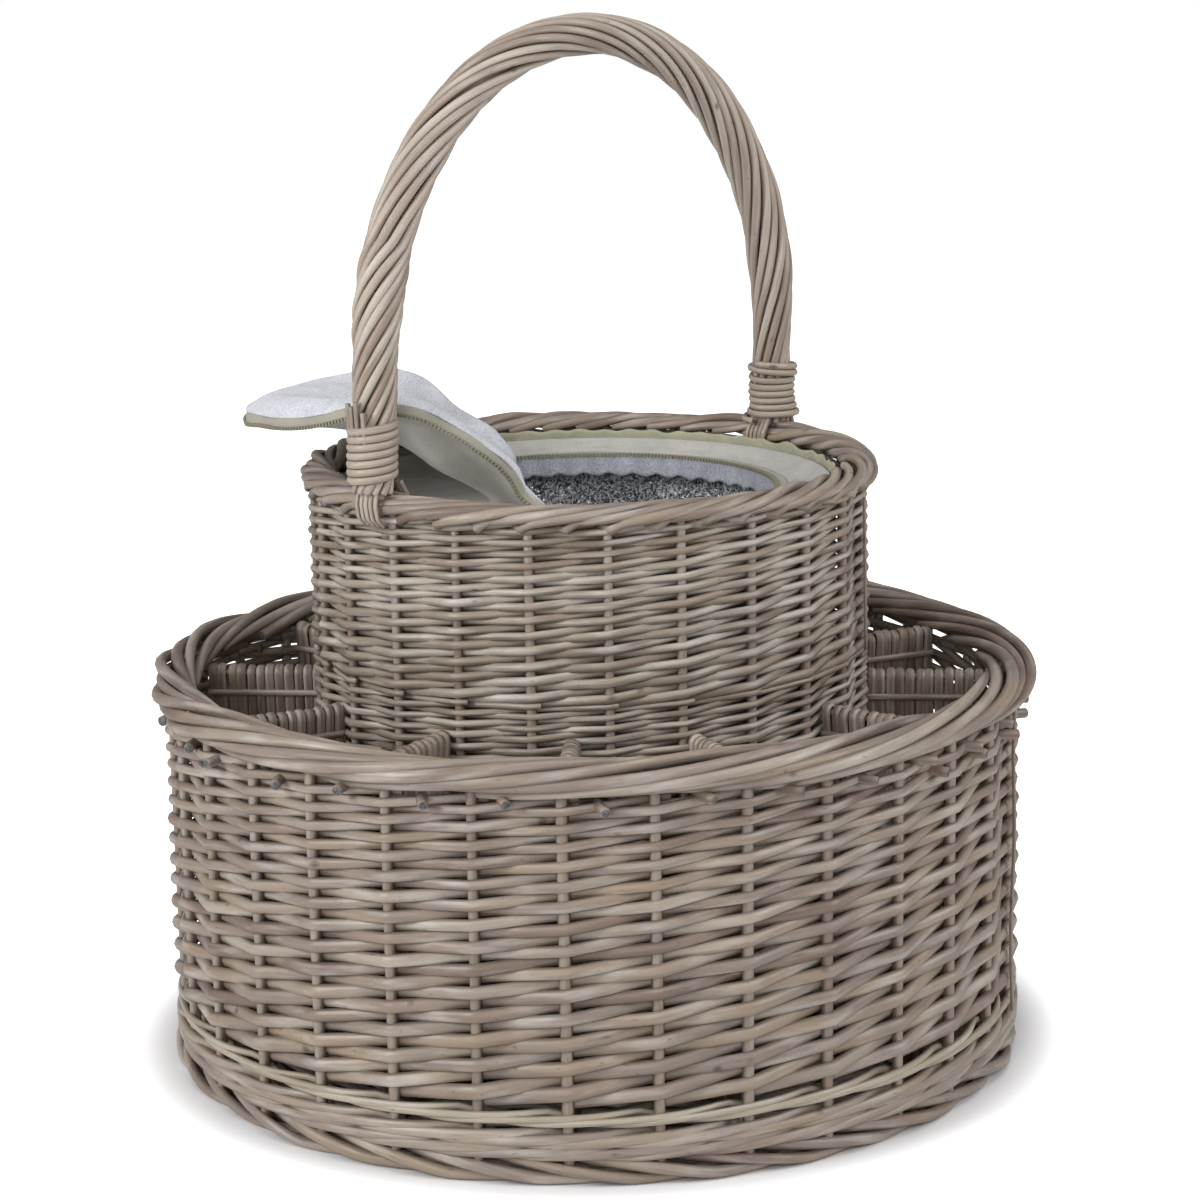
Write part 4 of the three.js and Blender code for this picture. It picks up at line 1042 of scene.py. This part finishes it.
# Lid: a soft cushion cut to the mouth's shape and sewn on along a straight seam. Its cloth side hangs down
# when it is open, its white lining is on top, and zip tape with its teeth runs round the rim between them.
LID_RADIUS = 0.1056
LID_FACE_RADIUS = LID_RADIUS - 0.0012
LID_LENGTH = SEAM + LID_RADIUS
LID_FOLD = 0.074
LID_SOFT = 0.034
LID_OPEN = math.radians(128)
LID_TIP_OPEN = math.radians(64)
LID_THICK = 0.005
LID_TIP_GROWTH = 0.018
LID_TIP_CURL = 0.004
LID_ROWS = 44
LID_COLUMNS = 61
NEAR_RISE = ([0, 0.003, 0.008, 0.018, 0.028, 0.04, 0.06, 0.08, 0.11, 0.13, 0.17],
             [0, 0.005, 0.013, 0.0145, 0.0138, 0.0108, 0.006, 0.0045, 0.0045, 0.0015, -0.004])
FAR_RISE = -0.014
SAG = 0.013
arc = np.linspace(-0.01, LID_LENGTH + 0.02, 400)
slope = LID_OPEN + LID_TIP_OPEN * smooth((arc - LID_FOLD + LID_SOFT) / (2 * LID_SOFT))
step = arc[1] - arc[0]
profile_across = -SEAM + np.cumsum(np.cos(slope)) * step
profile_up = np.cumsum(np.sin(slope)) * step
profile_across += -SEAM - np.interp(0, arc, profile_across)
profile_up -= np.interp(0, arc, profile_up)


def lid_place(across, along, lift):
    """Where a point of the flat lid lies: across is its distance from the mouth's centre away from the
    seam, along its distance along the seam, and lift its height above the cloth side."""
    length = across + SEAM
    length = length + LID_TIP_GROWTH * np.clip((length - 0.1) / 0.05, 0, 1) ** 2
    bend = np.interp(length, arc, slope)
    grown = smooth(length / 0.05)
    width = (along / 0.1) ** 2
    near = np.interp(length, *NEAR_RISE) * width
    far = FAR_RISE * width * grown * np.interp(length, [0.08, 0.13], [1, 0.3])
    inside = smooth((1 - np.hypot(across, along) / LID_RADIUS) / 0.45)
    sag = SAG * inside * grown * np.interp(length, [0.09, 0.13], [1, 0])
    curl = LID_TIP_CURL * np.clip((length - 0.12) / 0.04, 0, 1) ** 2
    rise = lift + np.where(along < 0, near, far) - sag + curl
    corner = np.clip(-along / 0.04 - 1.25, 0, 1) ** 2 * np.clip(1 - length / 0.008, 0, 1)
    out = np.interp(length, arc, profile_across) + np.sin(bend) * rise + 0.019 * corner
    up = np.interp(length, arc, profile_up) - np.cos(bend) * rise + 0.002 * corner
    along = along - 0.006 * corner
    return mouth_centre + out[..., None] * mouth_across + along[..., None] * mouth_along + up[..., None] * UP


def lid_disc(lift):
    """A grid over the lid's outline: rows from the seam to the rim, columns across."""
    widest = math.acos(-SEAM / LID_FACE_RADIUS)
    turn = np.linspace(widest, 0.02, LID_ROWS)[:, None]
    share = np.sin(np.linspace(-math.pi / 2, math.pi / 2, LID_COLUMNS))[None, :]
    across = LID_FACE_RADIUS * np.cos(turn) + 0 * share
    along = LID_FACE_RADIUS * np.sin(turn) * share
    inside = 1 - np.sqrt(across ** 2 + along ** 2) / LID_FACE_RADIUS
    return lid_place(across, along, lift(across, along, inside))


def lid_rim(turn, radius, lift):
    """Points round the lid, at turns from the side that is away from the seam."""
    return lid_place(radius * np.cos(turn), radius * np.sin(turn), lift + 0 * turn)


def crumple(across, along, seed, size):
    """Soft irregular creases, finer where the size is greater."""
    draw = random.Random(seed)
    total = 0 * across * along
    for _ in range(10):
        total = total + np.sin(across * draw.uniform(-size, size) + along * draw.uniform(-size, size)
                               + draw.uniform(0, TURN))
    return total / 4


def face_lift(across, along, inside):
    creases = 0.0008 * crumple(across, along, 101, 90) * np.clip(inside * 8, 0, 1)
    return creases - 0.008 * np.sin(np.clip(inside / 0.8, 0, 1) * math.pi)


def lining_lift(across, along, inside):
    puff = np.clip(inside * 9, 0, 1) * (0.003 + 0.0016 * crumple(across, along, 102, 170))
    roll = 0.005 * np.exp(-((inside - 0.1) / 0.09) ** 2) * np.clip((across + SEAM) / 0.02, 0, 1)
    return LID_THICK - 0.0008 + puff + roll


# Painted light: the lid's cloth side is the panel's cloth made paler, so that it looks lit even though it
# faces down and gets little light.
lid_cloth_lightened = weave_cloth("lid_face_cloth_painted_light", (202, 200, 194), roughness=0.95, thread=1500, relief=0.0004)
lid_cloth = skin("lid_cloth", lid_disc(face_lift), lid_cloth_lightened, 0.0008, inward=True)
white_lining = weave_cloth(
    "white_lining", (216, 218, 225), roughness=0.9, thread=800, relief=0.0016, mottle=0.16
)
lid_lining = skin("lid_white_lining", lid_disc(lining_lift), white_lining, 0.0008)

widest = math.acos(-SEAM / LID_RADIUS)
turn = np.linspace(-widest, widest, 220)
share = np.linspace(0, 1, 5)[:, None]
radius = LID_RADIUS + 0.0004 - 0.002 * share + 0.0004 * np.sin(turn * 19)[None, :]
grid = lid_rim(turn, radius, (LID_THICK + 0.0004) * share)
lid_tape = skin("lid_zip_tape", grid, tape_cloth, 0.0009, inward=True)
rim = lid_rim(turn, LID_RADIUS, 0.0)
outside = lid_rim(turn, LID_RADIUS + 0.001, 0.0)
above = lid_rim(turn, LID_RADIUS, 0.001)
add_teeth(lid_tape, rim, (outside - rim) * 1000, (above - rim) * 1000)

for piece, nodes_replaced, slot in (
    (lid_cloth, ("lid_panel", "lid_tip_panel"), "cooler_cloth"),
    (lid_lining, ("lid_lining", "lid_tip_lining"), "white_lining"),
    (lid_tape, ("lid_tape_near", "lid_tape_far", "lid_tip_tape"), "zip_tape"),
):
    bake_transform(piece)
    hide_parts(*nodes_replaced)


# Zip slider and pull: cast metal with a dull nickel finish. The frame's own shapes stay.
nickel, tree, surface = new_finish("nickel")
feed(tree, surface, {"Base Color": colour(168, 166, 158), "Metallic": 1, "Roughness": 0.32})
for name in ("zip_slider", "zip_pull"):
    node = bpy.data.objects[name]
    node.data.materials.clear()
    node.data.materials.append(nickel)
